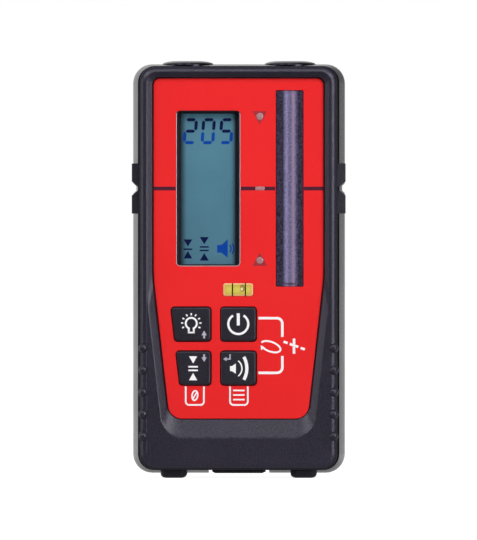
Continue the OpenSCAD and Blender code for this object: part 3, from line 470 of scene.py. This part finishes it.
panel = Shape()
back, front = panel.loft([(plate(), floor_front), (plate(), -13.75), (plate(-0.07), -13.93),
                          (plate(-0.25), plate_face)])
back_loops, front_loops = [back], [front]
openings = [(display, 0.02), (sensor, 0.05), (vial, 0.05), (lamp_bar, 0.03)]
openings += [(outline, 0.03) for outline in lamps] + [(outline, 0.25) for outline in keys.values()]
for outline, play in openings:
    edge = outline(play)
    rim = panel.loft([(edge, floor_front), (edge, -13.85), (outline(0.04 + play), -13.95),
                      (outline(0.15 + play), plate_face)])
    back_loops.append(rim[0])
    front_loops.append(rim[1])
panel.sheet(front_loops)
panel.sheet(back_loops)
panel.piece("red_panel", [panel_red.material], "housing", "faceplate_red", "faceplate")


# Printing on the faceplate: white brackets and signs that tie the keys to what they set,
# the dark level line and the two arrow fields round the lamps.
# Screen-printed ink, a few hundredths thick.


def bow(x, z, r, start, end, steps=18, tall=1.0, lean=0.0):
    """Points on an arc in degrees; tall stretches it upwards and lean turns it."""
    c, s = math.cos(math.radians(lean)), math.sin(math.radians(lean))
    points = []
    for k in range(steps + 1):
        a = math.radians(start + (end - start) * k / steps)
        u, v = r * math.cos(a), r * tall * math.sin(a)
        points.append((x + u * c - v * s, z + u * s + v * c))
    return points


class Print(Shape):
    """Ink on a surface that faces the front: thin closed shapes, slightly proud of it."""

    def __init__(self, y, proud=0.03):
        super().__init__()
        self.levels = (y - proud, y + 0.01)

    def blot(self, outline, paint=0, lift=0.0):
        """A filled area, lifted where it lies over other ink."""
        front, back = self.levels
        self.block([(outline, front - lift), (outline, back)], paint)

    def edges(self, path, width, closed):
        left, right = [], []
        for i, point in enumerate(path):
            here = Vector(point)
            runs = []
            if i or closed:
                runs.append((here - Vector(path[i - 1])).normalized())
            if i < len(path) - 1 or closed:
                runs.append((Vector(path[(i + 1) % len(path)]) - here).normalized())
            across = [Vector((-run.y, run.x)) for run in runs]
            middle = (across[0] + across[-1]).normalized()
            reach = width / 2 / max(0.4, middle.dot(across[0]))
            left.append(tuple(here + middle * reach))
            right.append(tuple(here - middle * reach))
        return left, right

    def line(self, path, width, paint=0, lift=0.0):
        left, right = self.edges(path, width, False)
        self.blot(left + right[::-1], paint, lift)

    def hoop(self, path, width, paint=0):
        """A closed line."""
        left, right = self.edges(path, width, True)
        outer = self.loft([(left, y) for y in self.levels], paint)
        inner = self.loft([(right, y) for y in self.levels], paint)
        self.band(outer[0], inner[0], paint)
        self.band(outer[1], inner[1], paint)


def ink(name, dark, light, rough=0.5):
    """Printed ink: even, with a faint grain from the screen."""
    finish = Finish(name, {"Specular IOR Level": 0.08})
    weave = finish.noise(finish.place(), 5.0, 2.0)
    finish.feed("Base Color", finish.blend(weave, srgb(dark), srgb(light)))
    finish.feed("Roughness", rough - 0.06 + 0.12 * weave)
    finish.relief(weave, 0.006)
    return finish.material


white_ink = ink("white_ink", "#ece9ec", "#fbf9fa")
signs = Print(plate_face)
for left, right in ((-19.9, -13.05), (-3.2, 3.5)):
    bracket_r, bracket_top, bracket_z = 1.3, 34.6, 28.95
    corners = (bow(left + bracket_r, bracket_z, bracket_r, 180, 270, 8)
               + bow(right - bracket_r, bracket_z, bracket_r, 270, 360, 8))
    signs.line([(left, bracket_top)] + corners + [(right, bracket_top)], 0.62)
signs.hoop(bow(-16.45, 31.2, 1.05, 0, 350, 34, 1.72, -8), 0.58)
signs.line([(-17.3, 29.75), (-15.6, 32.65)], 0.5, lift=0.015)
for z in (33.1, 31.4, 29.65):
    signs.line([(-2.05, z), (2.25, z)], 0.58)
signs.line([(7.5, 60.35)] + bow(14.5, 58.35, 2.0, 90, 0, 10) + [(16.5, 53.3)], 0.95)
signs.line([(16.5, 46.1)] + bow(14.5, 41.75, 2.0, 0, -90, 10) + [(7.5, 39.75)], 0.95)
signs.line(bow(12.15, 49.6, 3.85, 172, -146, 40, 0.47, -20), 0.68)
signs.blot([(8.35, 50.1), (8.5, 48.35), (10.0, 49.2)], lift=0.015)
signs.line([(20.9, 52.65), (20.9, 50.55)], 0.95)
signs.line([(20.9, 49.6), (20.9, 46.95)], 0.95)
signs.line([(17.0, 51.5), (18.5, 50.95)], 0.9)
signs.line([(19.3, 50.65), (22.5, 49.5)], 0.9)
signs.line([(23.4, 49.15), (25.0, 48.6)], 0.9)
signs.piece("panel_signs", [white_ink], "housing", "faceplate_red")

maroon_ink = ink("maroon_ink", "#431a2a", "#552236")
field_ink = ink("arrow_field_ink", "#9a2c36", "#a8343d")
marks = Print(plate_face, 0.02)
left_edge, right_edge = side_box("display_window")[:2]
sensor_left, sensor_right = side_box("sensor_lens", 0.8)[:2]
plate_edge, line_gap, line_half = 31.95, 0.2, 0.7
for x0, x1 in ((-plate_edge, left_edge - line_gap), (right_edge + line_gap, 6.3),
               (9.8, sensor_left - line_gap), (sensor_right + line_gap, plate_edge)):
    low, high = level - line_half, level + line_half
    marks.blot([(x0, low), (x1, low), (x1, high), (x0, high)])
for up in (1, -1):
    base, tip, middle = [level + up * offset for offset in (29.15, 24.1, lamp_up)]
    field = rounded([(8.0, tip, 0.1), (10.7, base, 0.1), (5.3, base, 0.1)], 10)
    arrow = marks.loft([(field, y) for y in marks.levels], 1)
    hole = marks.loft([(disc(lamp_x, middle, 1.46, 33)(), y) for y in marks.levels], 1)
    marks.sheet([arrow[0], hole[0]], 1)
    marks.sheet([arrow[1], hole[1]], 1)
marks.piece("level_marks", [maroon_ink, field_ink], "housing", "faceplate_red")


# Display window: a clear polycarbonate pane set flush in the faceplate, with a polished bevel round it.
# The bevel is painted pale at the sides and the bottom as a painted reflection, and dark along the top as
# painted shade; the pane itself stays unseen.

clear_pane = Finish("clear_pane", {"Base Color": (0, 0, 0, 1), "Alpha": 0.05, "IOR": 1.5})
haze = clear_pane.noise(clear_pane.place(), 0.25, 3.0)
clear_pane.feed("Roughness", 0.03 + 0.03 * haze)
reflection_edge = ink("painted_reflection_edge", "#bfabb3", "#ddd0d5", 0.25)
painted_shade_top = ink("shaded_edge", "#1d1b22", "#2a2730", 0.3)
pane = Shape()
back, face = pane.loft([(display(-0.05), floor_front), (display(-0.05), -13.9)])
bevel = pane.ring(display(-0.24), -13.98)
# Painted reflection and shade: the bevel's faces are pale along the sides and the bottom, and dark within
# 1.2 mm of the top.
top_edge = side_box("display_window")[3]
for i in range(len(face)):
    k = (i + 1) % len(face)
    at_top = min(pane.points[face[i]][2], pane.points[face[k]][2]) > top_edge - 1.2
    pane.face((face[i], face[k], bevel[k], bevel[i]), 2 if at_top else 1)
pane.face(bevel)
pane.face(back)
pane.piece("display_pane", [clear_pane.material, reflection_edge, painted_shade_top], "housing", "window_clear",
           "display_window")


# Display frame: a black moulded bezel behind the window that holds the display glass square to it.
# Matt inside, so that it reads as a dark recess round the blue-grey glass.

bezel_black = moulded("bezel_black", "#1f1e25", "#2b2a33", 0.62, 1.8, 0.03, 0.1)
x0, x1, z0, z1 = side_box("lcd_frame")
frame_front, frame_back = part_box("lcd_frame")[0].y * 1000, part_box("lcd_frame")[1].y * 1000
glass_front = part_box("lcd_panel")[0].y * 1000
outside = slab(x0, x1, z0, z1, 0.6)
left, right, low, high = side_box("display_window")
opening = slab(left + 1.75, right - 1.95, low + 0.5, high - 1.1, 0.4)
seat = slab(*side_box("lcd_panel", -0.02), 0.2)
bezel = Shape()
outer = bezel.loft([(outside(-0.2), frame_front), (outside(), frame_front + 0.2), (outside(), frame_back)])
lens_edge = bezel.loft([(opening(0.25), frame_front), (opening(0.05), frame_front + 0.2),
                        (opening(), glass_front)])
pocket_edge = bezel.loft([(seat(), glass_front), (seat(), frame_back)])
bezel.sheet([outer[0], lens_edge[0]])
bezel.sheet([pocket_edge[0], lens_edge[1]])
bezel.sheet([outer[1], pocket_edge[1]])
bezel.piece("display_bezel", [bezel_black], "housing", "frame_black", "lcd_frame")


# Display glass: a reflective liquid crystal cell, two thin panes with a blue-grey polariser in front.
# Its colour is painted darker towards both sides as shade from the frame. Lit segments show deep blue: a
# plain reading, two precision signs and a sound sign. Behind it lie the light guide and the striped rubber
# strips that join it to the board.

cell_glass = Finish("cell_glass", {"Specular IOR Level": 0.1})
spot = cell_glass.place()
height = cell_glass.across(spot, "Z")
film = cell_glass.noise(spot, 0.11, 4.0, 0.6)
speck = cell_glass.noise(spot, 3.5, 2.0)
shade = cell_glass.ease(height, 78.0, 132.0) * 0.35 + film * 0.5 + speck * 0.15
tint = cell_glass.blend(shade, srgb("#4c748a"), srgb("#5e94a8"))
# Painted shade: the glass darkens to a deep blue-grey towards the window's left and right sides, where the
# frame shades it.
along = cell_glass.across(spot, "X")
clear_of_left_shade = cell_glass.ease(along, left + 1.2, left + 4.2)
clear_of_right_shade = 1 - cell_glass.ease(along, right - 3.4, right - 0.9)
cell_glass.feed("Base Color", cell_glass.blend(clear_of_left_shade * clear_of_right_shade, srgb("#28333f"), tint))
cell_glass.feed("Roughness", 0.3 + 0.15 * film)
dress("lcd_panel", cell_glass.material)

navy_segment = ink("navy_segment", "#0a1240", "#101a52", 0.35)
blue_segment = ink("blue_segment", "#0a3f9c", "#1050b4", 0.35)
reading = Print(glass_front, 0.02)
digit_w, digit_half = 4.0, 4.3
level_bars = {"a": 2 * digit_half, "g": digit_half, "d": 0.0}
upright_bars = {"f": (0.0, digit_half), "b": (digit_w, digit_half), "e": (0.0, 0.0), "c": (digit_w, 0.0)}


def segment(name):
    """One of the seven bars of a numeral, a to g, with pointed ends."""
    cut, gap = 0.6, 0.22
    if name in level_bars:
        z, start, end = level_bars[name], gap, digit_w - gap
        return [(start, z), (start + cut, z - cut), (end - cut, z - cut),
                (end, z), (end - cut, z + cut), (start + cut, z + cut)]
    x, foot = upright_bars[name]
    start, end = foot + gap, foot + digit_half - gap
    return [(x, start), (x + cut, start + cut), (x + cut, end - cut),
            (x, end), (x - cut, end - cut), (x - cut, start + cut)]


numerals_z, numerals_lean = 126.5, 0.07
for x, bars in ((-20.5, "abdeg"), (-13.75, "abcdef"), (-6.95, "acdfg")):
    for name in bars:
        outline = [(x + u + numerals_lean * v, numerals_z + v) for u, v in segment(name)]
        reading.blot(outline, 1 if name in "cde" else 0)
for x, half, top, upper_tip, lower_tip, foot, bars in (
        (-19.1, 1.65, 90.0, 87.3, 85.6, 82.8, (86.3,)),
        (-12.95, 1.7, 90.9, 88.15, 84.85, 82.0, (87.16, 85.84))):
    reading.blot([(x - half, top), (x, upper_tip), (x + half, top)])
    for z in bars:
        reading.line([(x - half, z), (x + half, z)], 0.55)
    reading.blot([(x - half, foot), (x + half, foot), (x, lower_tip)])
reading.blot([(-8.1, 85.0), (-6.5, 85.0), (-4.1, 83.1), (-4.1, 90.0), (-6.5, 87.9), (-8.1, 87.9)], 1)
reading.line(bow(-4.9, 86.5, 2.05, -42, 42), 0.5, 1)
reading.line(bow(-4.9, 86.5, 3.1, -38, 38), 0.45, 1)
reading.piece("display_reading", [navy_segment, blue_segment], "housing", "lcd_glass")

light_guide = moulded("light_guide", "#d9d8cf", "#f0efe6", 0.35, 0.8, 0.02)
dress("lcd_backlight", light_guide, bevel=0.1)
strip_rubber = Finish("conductive_strip", {"Roughness": 0.6})
bands = strip_rubber.across(strip_rubber.place(), "X")
bands = strip_rubber.add("ShaderNodeMath", {"operation": "FRACT"}, {0: bands * 4.0}) > 0.5
strip_rubber.feed("Base Color", strip_rubber.blend(bands, srgb("#d8a9a0"), srgb("#26252a")))
dress("lcd_connectors", strip_rubber.material)


# Sensor lens: a tall strip of smoky acrylic with a frosted surface and a half-round ridge down its middle.
# The ridge gathers the laser line onto the photodiodes behind it; a flange behind the plate holds it.

sensor_mid = 19.25
smoky_lens = Finish("smoky_lens", {"Specular IOR Level": 0.2})
spot = smoky_lens.place()
off = smoky_lens.across(spot, "X") - sensor_mid
frost = smoky_lens.ease(smoky_lens.noise(spot, 1.5, 2.0, 0.7), 0.36, 0.66)
cloud = smoky_lens.noise(spot, 0.16, 2.0)
# Painted highlight: the ridge is coloured a lighter lilac than the body, with a lighter streak left of its
# middle and a pink line in the glow mask right of it, standing in for the shine along its round face.
distance = smoky_lens.add("ShaderNodeMath", {"operation": "ABSOLUTE"}, {0: off - 0.2})
painted_ridge_highlight = 1 - smoky_lens.ease(distance, 1.9, 3.2)
glow = smoky_lens.ease(off, 0.4, 1.3) * (1 - smoky_lens.ease(off, 1.4, 2.4))
highlight_streak = smoky_lens.ease(off, -2.2, -1.2) * (1 - smoky_lens.ease(off, -1.1, -0.1))
body_tone = smoky_lens.blend(frost, srgb("#15111f"), srgb("#3b3652"))
lilac = frost * 0.4 + highlight_streak * 0.4 + cloud * 0.2
highlight_tone = smoky_lens.blend(lilac, srgb("#4a4562"), srgb("#928bb6"))
highlight_tone = smoky_lens.blend(glow * 0.6, highlight_tone, srgb("#9d7f9c"))
smoky_lens.feed("Base Color", smoky_lens.blend(painted_ridge_highlight, body_tone, highlight_tone))
smoky_lens.feed("Roughness", 0.38 + 0.25 * frost)
smoky_lens.relief(frost, 0.05)

lens = Shape()
z0, z1 = side_box("sensor_lens", 0.8)[2:]
face_y = -13.6
flange_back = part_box("sensor_lens")[1].y * 1000
lens.block([(sensor(-0.3), face_y), (sensor(-0.09), face_y + 0.09), (sensor(), face_y + 0.3),
            (sensor(), floor_back), (sensor(0.8), floor_back), (sensor(0.8), flange_back)])
ridge_end, arc_steps = 0.7, 14
sections = []
for end, steps in ((z0 + 1.0, (0.0, 0.12, 0.35, ridge_end)), (z1 - 1.0, (-ridge_end, -0.35, -0.12, 0.0))):
    for step in steps:
        fall = 1 - (abs(step) / ridge_end - 1) ** 2
        width, rise = 2.35 + 0.3 * fall, -1.2 * (0.55 + 0.45 * fall)
        first = len(lens.points)
        for a in [half_turn * k / arc_steps for k in range(arc_steps + 1)]:
            x, y = sensor_mid - width * math.cos(a), face_y + 0.05 + rise * math.sin(a)
            lens.points.append((x, y, end + step))
        sections.append(list(range(first, len(lens.points))))
for a, b in zip(sections, sections[1:]):
    lens.band(a, b)
lens.face(sections[0])
lens.face(sections[-1])
lens.piece("sensor_strip", [smoky_lens.material], "housing", "sensor_dark", "sensor_lens")


# Sensor board, photodiodes and header: a narrow green board with eight square diodes in a row behind
# the lens, joined to the main board by a pin header. The diodes are dark chips in clear epoxy.

board_green = Finish("board_green", {"Specular IOR Level": 0.5})
spot = board_green.place()
grid = []
for axis, scale in (("X", 0.05), ("Z", 0.06)):
    run = board_green.across(spot, axis) * 0.45 + board_green.noise(spot, scale, 1.0) * 2.0
    grid.append(board_green.add("ShaderNodeMath", {"operation": "FRACT"}, {0: run}) < 0.16)
tracks = board_green.larger(*grid)
weave = board_green.noise(spot, 1.5, 2.0)
base = board_green.blend(weave, srgb("#0d4a2c"), srgb("#145a37"))
board_green.feed("Base Color", board_green.blend(tracks, base, srgb("#1f7a4a")))
board_green.feed("Roughness", 0.32 + 0.12 * weave)
board_green.relief(tracks, 0.03)
dress("sensor_board", board_green.material)

diode_epoxy = moulded("diode_epoxy", "#16141c", "#2a2233", 0.18, 1.0, 0.01, 0.6)
dress("photodiodes", diode_epoxy, bevel=0.12)
part_black = moulded("part_black", "#151517", "#232326", 0.55, 3.0, 0.02)
dress("sensor_header", part_black, bevel=0.1)


# Lamps: two round light pipes in the arrow fields and a flat one on the level line, pinkish acrylic.
# Each is pressed in from behind over an LED chip; unlit they look greyish pink, with a domed front.

lamp_pink = Finish("lamp_pink", {"Subsurface Weight": 0.15, "Coat Weight": 0.3, "Coat Roughness": 0.1})
milk = lamp_pink.noise(lamp_pink.place(), 1.1, 3.0)
lamp_pink.feed("Base Color", lamp_pink.blend(milk, srgb("#a76b72"), srgb("#bf8a8e")))
lamp_pink.feed("Roughness", 0.18 + 0.2 * milk)
collar_back = -10.2
pipes = Shape()
pipe_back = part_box("arrow_light_pipes")[1].y * 1000
for outline, up in zip(lamps, (lamp_up, -lamp_up)):
    collar = disc(lamp_x, level + up, 2.3)
    pipes.block([(outline(-1.1), -14.12), (outline(-0.7), -14.1), (outline(-0.3), -14.05),
                 (outline(-0.05), -13.95), (outline(), -13.8), (outline(), floor_back),
                 (collar(), floor_back), (collar(), collar_back), (outline(), collar_back),
                 (outline(), pipe_back)])
pipes.piece("arrow_lamps", [lamp_pink.material], "housing", "lens_pink", "arrow_light_pipes")
strip = Shape()
bar_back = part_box("level_light_pipe")[1].y * 1000
collar = slab(*side_box("level_light_pipe"), 0.3)
strip.block([(lamp_bar(-0.3), -14.03), (lamp_bar(-0.08), plate_face), (lamp_bar(), -13.9),
             (lamp_bar(), floor_back), (collar(), floor_back), (collar(), collar_back),
             (lamp_bar(), collar_back), (lamp_bar(), bar_back)])
strip.piece("level_lamp", [lamp_pink.material], "housing", "lens_pink", "level_light_pipe")

led_white = Finish("led_white", {"Coat Weight": 0.2})
spot = led_white.place()
phosphor = led_white.noise(spot, 1.4, 2.0)
led_white.feed("Base Color", led_white.blend(phosphor, srgb("#d9d6c8"), srgb("#f1e9b8")))
led_white.feed("Roughness", 0.3 + 0.2 * phosphor)
dress("indicator_leds", led_white.material, bevel=0.1)


# Level vial: a small block of clear acrylic glued in the faceplate, its bore full of yellow-green spirit.
# Its polished edges carry a pale orange painted reflection, two black lines are ringed round it, and a
# bubble stands between them.

spirit_block = Finish("spirit_block", {"Specular IOR Level": 0.5, "Coat Weight": 0.5,
                                       "Coat Roughness": 0.05, "Subsurface Weight": 0.1})
spot = spirit_block.place()
vial_mid = sum(side_box("vial_body")[2:]) / 2
up = spirit_block.across(spot, "Z") - vial_mid
swirl = spirit_block.noise(spot, 0.5, 3.0)
bore = spirit_block.ease(up, -2.0, -0.2) * (1 - spirit_block.ease(up, 0.4, 1.9))
tone = spirit_block.blend(bore * 0.7 + swirl * 0.3, srgb("#c9a93e"), srgb("#dfcf5c"))
along = spirit_block.across(spot, "X") + 0.15
ends = spirit_block.add("ShaderNodeMath", {"operation": "ABSOLUTE"}, {0: along})
tone = spirit_block.blend(spirit_block.ease(ends, 3.6, 5.6) * 0.75, tone, srgb("#dfa050"))
spirit_block.feed("Base Color", tone)
spirit_block.feed("Roughness", 0.12 + 0.15 * swirl)
line_black = ink("line_black", "#090805", "#15130c")
# Painted reflection: a pale orange band on the bevel round the block's front.
painted_glint_edge = ink("painted_glint_edge", "#efb07a", "#f8ca98", 0.2)
block = Shape()
block_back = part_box("vial_body")[1].y * 1000
face, edge = block.loft([(vial(-0.5), -14.32), (vial(-0.25), -14.28), (vial(-0.08), -14.15),
                         (vial(), -13.95)], 2)
side, rear = block.loft([(vial(), floor_back), (vial(0.8), floor_back), (vial(0.8), block_back)])
block.band(edge, side)
block.face(face)
block.face(rear)
for x in (-2.28, 2.6):
    line = slab(x - 0.23, x + 0.23, vial_mid - 2.42, vial_mid + 2.42, 0.05)
    block.block([(line(), -14.36), (line(), -13.9)], 1)
block.piece("spirit_vial", [spirit_block.material, line_black, painted_glint_edge], "housing", "vial_yellow",
            "vial_body")

bubble_glint = Finish("bubble_glint", {"Coat Weight": 0.6})
film = bubble_glint.noise(bubble_glint.place(), 1.5, 2.0)
bubble_glint.feed("Base Color", bubble_glint.blend(film, srgb("#e6d488"), srgb("#f6ecb4")))
bubble_glint.feed("Roughness", 0.1 + 0.1 * film)
bubble_rim = ink("bubble_rim", "#8d7436", "#a38a44", 0.2)
bubble = Shape()
oval = slab(0.6, 2.3, vial_mid - 0.75, vial_mid + 2.0, 0.8)
glint = slab(0.75, 1.75, vial_mid - 0.35, vial_mid + 0.85, 0.45)
bubble.block([(oval(-0.6), -14.37), (oval(-0.25), -14.36), (oval(), -14.33), (oval(), -14.25)], 1)
bubble.block([(glint(-0.3), -14.42), (glint(-0.1), -14.41), (glint(), -14.38), (glint(), -14.3)])
bubble.piece("vial_bubble", [bubble_glint.material, bubble_rim], "housing", "vial_yellow")
spirit = Finish("green_spirit", {"Coat Weight": 0.4})
swirl = spirit.noise(spirit.place(), 0.6, 3.0)
spirit.feed("Base Color", spirit.blend(swirl, srgb("#c4bd33"), srgb("#dedb54")))
spirit.feed("Roughness", 0.1 + 0.1 * swirl)
dress("vial_liquid", spirit.material)


# Keys: four black keys of hard rubber with softly rolled edges and white printed signs.
# Light at the top left, power beside it, precision below, sound beside that.
# Small grey signs give a second use.

key_rubber = moulded("key_rubber", "#0c0a11", "#1f1c28", 0.36, 1.9, 0.02, 0.5)
lilac_ink = ink("lilac_ink", "#a9a4b6", "#bdb8c8")
key_front, key_roll, key_flange = -14.8, 0.75, 0.7
for name, outline in keys.items():
    cap = Shape()
    key_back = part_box(name)[1].y * 1000
    flange_front = key_back - 1.0
    edge = [(outline(-key_roll * (1 - math.cos(a))), key_front + key_roll * (1 - math.sin(a)))
            for a in [half_turn / 2 * k / 6 for k in range(7)]]
    cap.block([(outline(key_flange), key_back), (outline(key_flange), flange_front),
               (outline(), flange_front), *edge])
    cap.piece(name + "_cap", [key_rubber], name, "key_black", name)

light_sign = Print(key_front)
bulb_x, bulb_z, neck = -17.8, 58.4, 54.95
bulb = bow(bulb_x, bulb_z, 2.08, 245, -65, 30)
light_sign.line([(-18.75, neck), (-18.75, 56.1)] + bulb + [(-16.85, 56.1), (-16.85, neck)], 0.72)
light_sign.line([(-19.1, neck), (-16.5, neck)], 0.6)
for a in (90, 61, 119, 31, 149, 2, 178, -27, 207):
    light_sign.line([bow(bulb_x, bulb_z, r, a, a, 1)[0] for r in (3.05, 3.85)], 0.55)
light_sign.blot([(-13.95, 53.9), (-12.95, 55.7), (-11.95, 53.9)], 1)
light_sign.blot([(-13.3, 52.7), (-12.6, 52.7), (-12.6, 53.95), (-13.3, 53.95)], 1)
light_sign.piece("light_key_sign", [white_ink, lilac_ink], "light_key", "key_black")

power_sign = Print(key_front)
power_sign.line(bow(-0.08, 58.15, 3.75, 122, 418, 44), 0.85)
power_sign.line([(-0.08, 62.2), (-0.08, 57.6)], 1.15)
power_sign.piece("power_key_sign", [white_ink], "power_key", "key_black")

precision_sign = Print(key_front)
precision_sign.blot([(-18.65, 46.0), (-17.1, 43.3), (-15.55, 46.0)])
for z in (42.05, 40.7):
    precision_sign.line([(-18.9, z), (-15.3, z)], 0.6)
precision_sign.blot([(-18.65, 36.95), (-15.55, 36.95), (-17.1, 39.7)])
precision_sign.blot([(-13.95, 45.6), (-12.95, 43.9), (-11.95, 45.6)], 1)
precision_sign.blot([(-13.3, 45.55), (-12.6, 45.55), (-12.6, 46.75), (-13.3, 46.75)], 1)
precision_sign.piece("precision_key_sign", [white_ink, lilac_ink], "precision_key", "key_black")

sound_sign = Print(key_front)
sound_sign.blot([(-3.2, 40.4), (-2.45, 40.4), (-1.0, 39.4), (-1.0, 43.3), (-2.45, 42.3), (-3.2, 42.3)])
sound_sign.line(bow(-2.36, 41.4, 3.66, -52, 52), 0.5)
sound_sign.line(bow(-5.77, 41.45, 8.9, -29, 29), 1.2)
sound_sign.line([(-3.2, 46.75), (-3.2, 44.95), (-4.7, 44.95)], 0.5, 1)
sound_sign.blot([(-5.75, 44.95), (-4.5, 44.15), (-4.5, 45.75)], 1)
sound_sign.piece("volume_key_sign", [white_ink, lilac_ink], "volume_key", "key_black")


# Key switches: four square tactile switches on the main board, each with a round red plunger.
# A key's back rests on its plunger, which clicks half a millimetre down.

dress("switch_bodies", part_black, bevel=0.15)
plunger_red = moulded("plunger_red", "#8f1d20", "#b32a2c", 0.4, 1.5, 0.01)
for name in ("light_plunger", "power_plunger", "precision_plunger", "volume_plunger"):
    dress(name, plunger_red, bevel=0.12)


# Main board: green glass-fibre board on four posts, with its processor, coils and small parts behind,
# the sound transducer beside them and four small steel screws through it.

dress("main_board", board_green.material)
dress("board_parts", part_black, bevel=0.12)
dress("board_screws", zinc_steel, bevel=0.1)
dress("buzzer", moulded("buzzer_black", "#121214", "#1f1f22", 0.42, 1.4, 0.02), bevel=0.25)


# Marking pads: two black rubber blocks at each side, split by a V notch on the level line that holds
# a pencil point. They are pushed into slots of the rear shell and stand slightly proud of it.

soft_rubber = moulded("soft_rubber", "#1d1b23", "#302d38", 0.45, 2.0, 0.04, 0.45)
dress("left_mark_pad", soft_rubber, bevel=0.3)
dress("right_mark_pad", soft_rubber, bevel=0.3)


# Feet: two rounded rubber blocks under the housing that keep it from sliding on a floor or a beam.
# Each is one moulding, glued into a shallow recess of the rear shell.

foot_rubber = moulded("foot_rubber", "#18161e", "#26232e", 0.5, 2.2, 0.05)
dress("left_foot", foot_rubber)
dress("right_foot", foot_rubber)


# Magnets: two round crowned ferrite discs, each in a pressed steel cup set in the top of the rear shell.
# They hold the receiver to a steel ceiling track; the cups are black-nickel plated and both are polished.

dress("magnet_cups", plated("black_nickel", "#1c1b21", "#35333c", 0.24))
dress("magnet_discs", plated("ferrite_grey", "#232228", "#3a3841", 0.3))


# Clamp insert: a turned brass bush with a coarse thread, pressed into the middle of the back.
# The rod clamp screws into it and locates in the two small holes above and below.

brass = plated("turned_brass", "#9a7430", "#c79f52", 0.26, (1.0, 8.0, 1.0))
dress("clamp_insert", brass, bevel=0.15)


# Battery: two AA cells side by side in printed sleeves with bare steel ends, between spring strips.
# The strips are bent from nickel-plated sheet and pushed into slots of the bay.

sleeve = Finish("cell_sleeve", {"Coat Weight": 0.25, "Coat Roughness": 0.2})
spot = sleeve.place()
up = sleeve.across(spot, "Z")
z0, z1 = side_box("battery_cells")[2:]
crimp = sleeve.noise(spot, 0.8, 3.0)
copper = sleeve.ease(up, z1 - 16.2, z1 - 16.0)
bare = 1 - sleeve.ease(up, z0 + 0.9, z0 + 1.0) * (1 - sleeve.ease(up, z1 - 1.7, z1 - 1.6))
tone = sleeve.blend(copper, sleeve.blend(crimp, srgb("#1c1d20"), srgb("#2b2c30")), srgb("#a9763c"))
sleeve.feed("Base Color", sleeve.blend(bare, tone, srgb("#bdbdbb")))
sleeve.feed("Metallic", bare)
sleeve.feed("Roughness", 0.28 + 0.15 * crimp)
dress("battery_cells", sleeve.material, bevel=0.3)
nickel = plated("nickel_strip", "#9d9a92", "#cbc8be", 0.24, (6.0, 1.0, 1.0))
dress("contact_bridge", nickel)
dress("contact_tabs", nickel)


# Battery door: a flat black cover over the bay, hinged at its top on a steel pin, with a silicone seal.
# The latch slides in its lower edge; its tab shows in the notch under the front, its ridges at the back.

dress("hinge_pin", zinc_steel, bevel=0.1)
dress("battery_door", shell_black, bevel=0.35)
dress("door_seal", bpy.data.materials["silicone_grey"], bevel=0.2)
latch_black = moulded("latch_black", "#110f16", "#23202b", 0.45, 2.4, 0.04, 0.35)
dress("door_latch", latch_black, bevel=0.15)


# Studio: a white floor under a white surround, with soft round lamps high and low at both sides and above.
# The surround is white as the camera sees it and as gloss mirrors it from behind, less so at the right,
# and weaker as light on matt surfaces. The camera stands far off and almost square in front.

floor_white = Finish("floor_white", {"Base Color": (0.3, 0.3, 0.3, 1), "Roughness": 0.9,
                                     "Specular IOR Level": 0.1})
behind = floor_white.ease(floor_white.across(floor_white.place(), "Y"), -100.0, 100.0)
glow, dim = [floor_white.add("ShaderNodeEmission", {}, {"Color": (1, 1, 1, 1), "Strength": strength})
             for strength in (0.92, 0.0)]
matt = Signal(floor_white, floor_white.shader.outputs[0])
shown = floor_white.add("ShaderNodeMixShader", {}, {0: floor_white.seen(behind), 1: dim, 2: glow})
lit = floor_white.add("ShaderNodeAddShader", {}, {0: matt, 1: shown})
floor_white.tree.links.new(lit.socket, floor_white.tree.nodes["Material Output"].inputs["Surface"])
floor = bpy.data.objects.new("floor", bpy.data.meshes.new("floor"))
floor.data.from_pydata([(-9, -9, 0), (9, -9, 0), (9, 9, 0), (-9, 9, 0)], [], [(0, 1, 2, 3)])
floor.data.materials.append(floor_white.material)
bpy.context.scene.collection.objects.link(floor)

world = bpy.data.worlds.new("studio")
bpy.context.scene.world = world
world.use_nodes = True
surround = Tree(world.node_tree)
backdrop, fill = [surround.add("ShaderNodeBackground", {}, {"Color": (1, 1, 1, 1), "Strength": strength})
                  for strength in (1.0, 0.25)]
way = surround.add("ShaderNodeTexCoord", {}, {}, "Generated")
rightwards = surround.ease(surround.across(way, "X"), 0.0, 0.19)
behind = surround.ease(surround.across(way, "Y"), -0.15, 0.45) * (1 - 0.95 * rightwards)
shown = surround.add("ShaderNodeMixShader", {}, {0: surround.seen(behind), 1: fill, 2: backdrop})
surround.tree.links.new(shown.socket, world.node_tree.nodes["World Output"].inputs["Surface"])


def face_to(piece, spot, target):
    """Stands a lamp or the camera at a spot and turns it to a target."""
    piece.location = spot
    piece.rotation_euler = (Vector(target) - Vector(spot)).to_track_quat("-Z", "Y").to_euler()
    bpy.context.scene.collection.objects.link(piece)


for name, spot, power in (("key_lamp", (0.76, -1.08, 0.78), 7), ("side_lamp", (0.91, -1.17, 0.14), 8),
                          ("left_lamp", (-0.8, -0.95, 0.95), 6.5),
                          ("left_side_lamp", (-1.42, -0.45, 0.2), 3.2),
                          ("top_lamp", (0.06, -0.95, 1.2), 4.5)):
    data = bpy.data.lights.new(name, "AREA")
    data.shape = "DISK"
    data.size = 0.6
    data.energy = power
    face_to(bpy.data.objects.new(name, data), spot, (0, 0, 0.08))

reach, picture_width = 6.0, 0.17966
camera = bpy.data.cameras.new("camera")
camera.sensor_fit = "HORIZONTAL"
camera.sensor_width = 36
camera.lens = camera.sensor_width * reach / picture_width
viewer = bpy.data.objects.new("camera", camera)
azimuth, elevation = math.radians(0.5), math.radians(0.4)
target = Vector((0.0, -0.015, 0.0785))
outwards = Vector((math.sin(azimuth) * math.cos(elevation), -math.cos(azimuth) * math.cos(elevation),
                   math.sin(elevation)))
face_to(viewer, target + reach * outwards, target)
bpy.context.scene.camera = viewer
bpy.context.scene.view_settings.view_transform = "Standard"

bpy.context.view_layer.update()
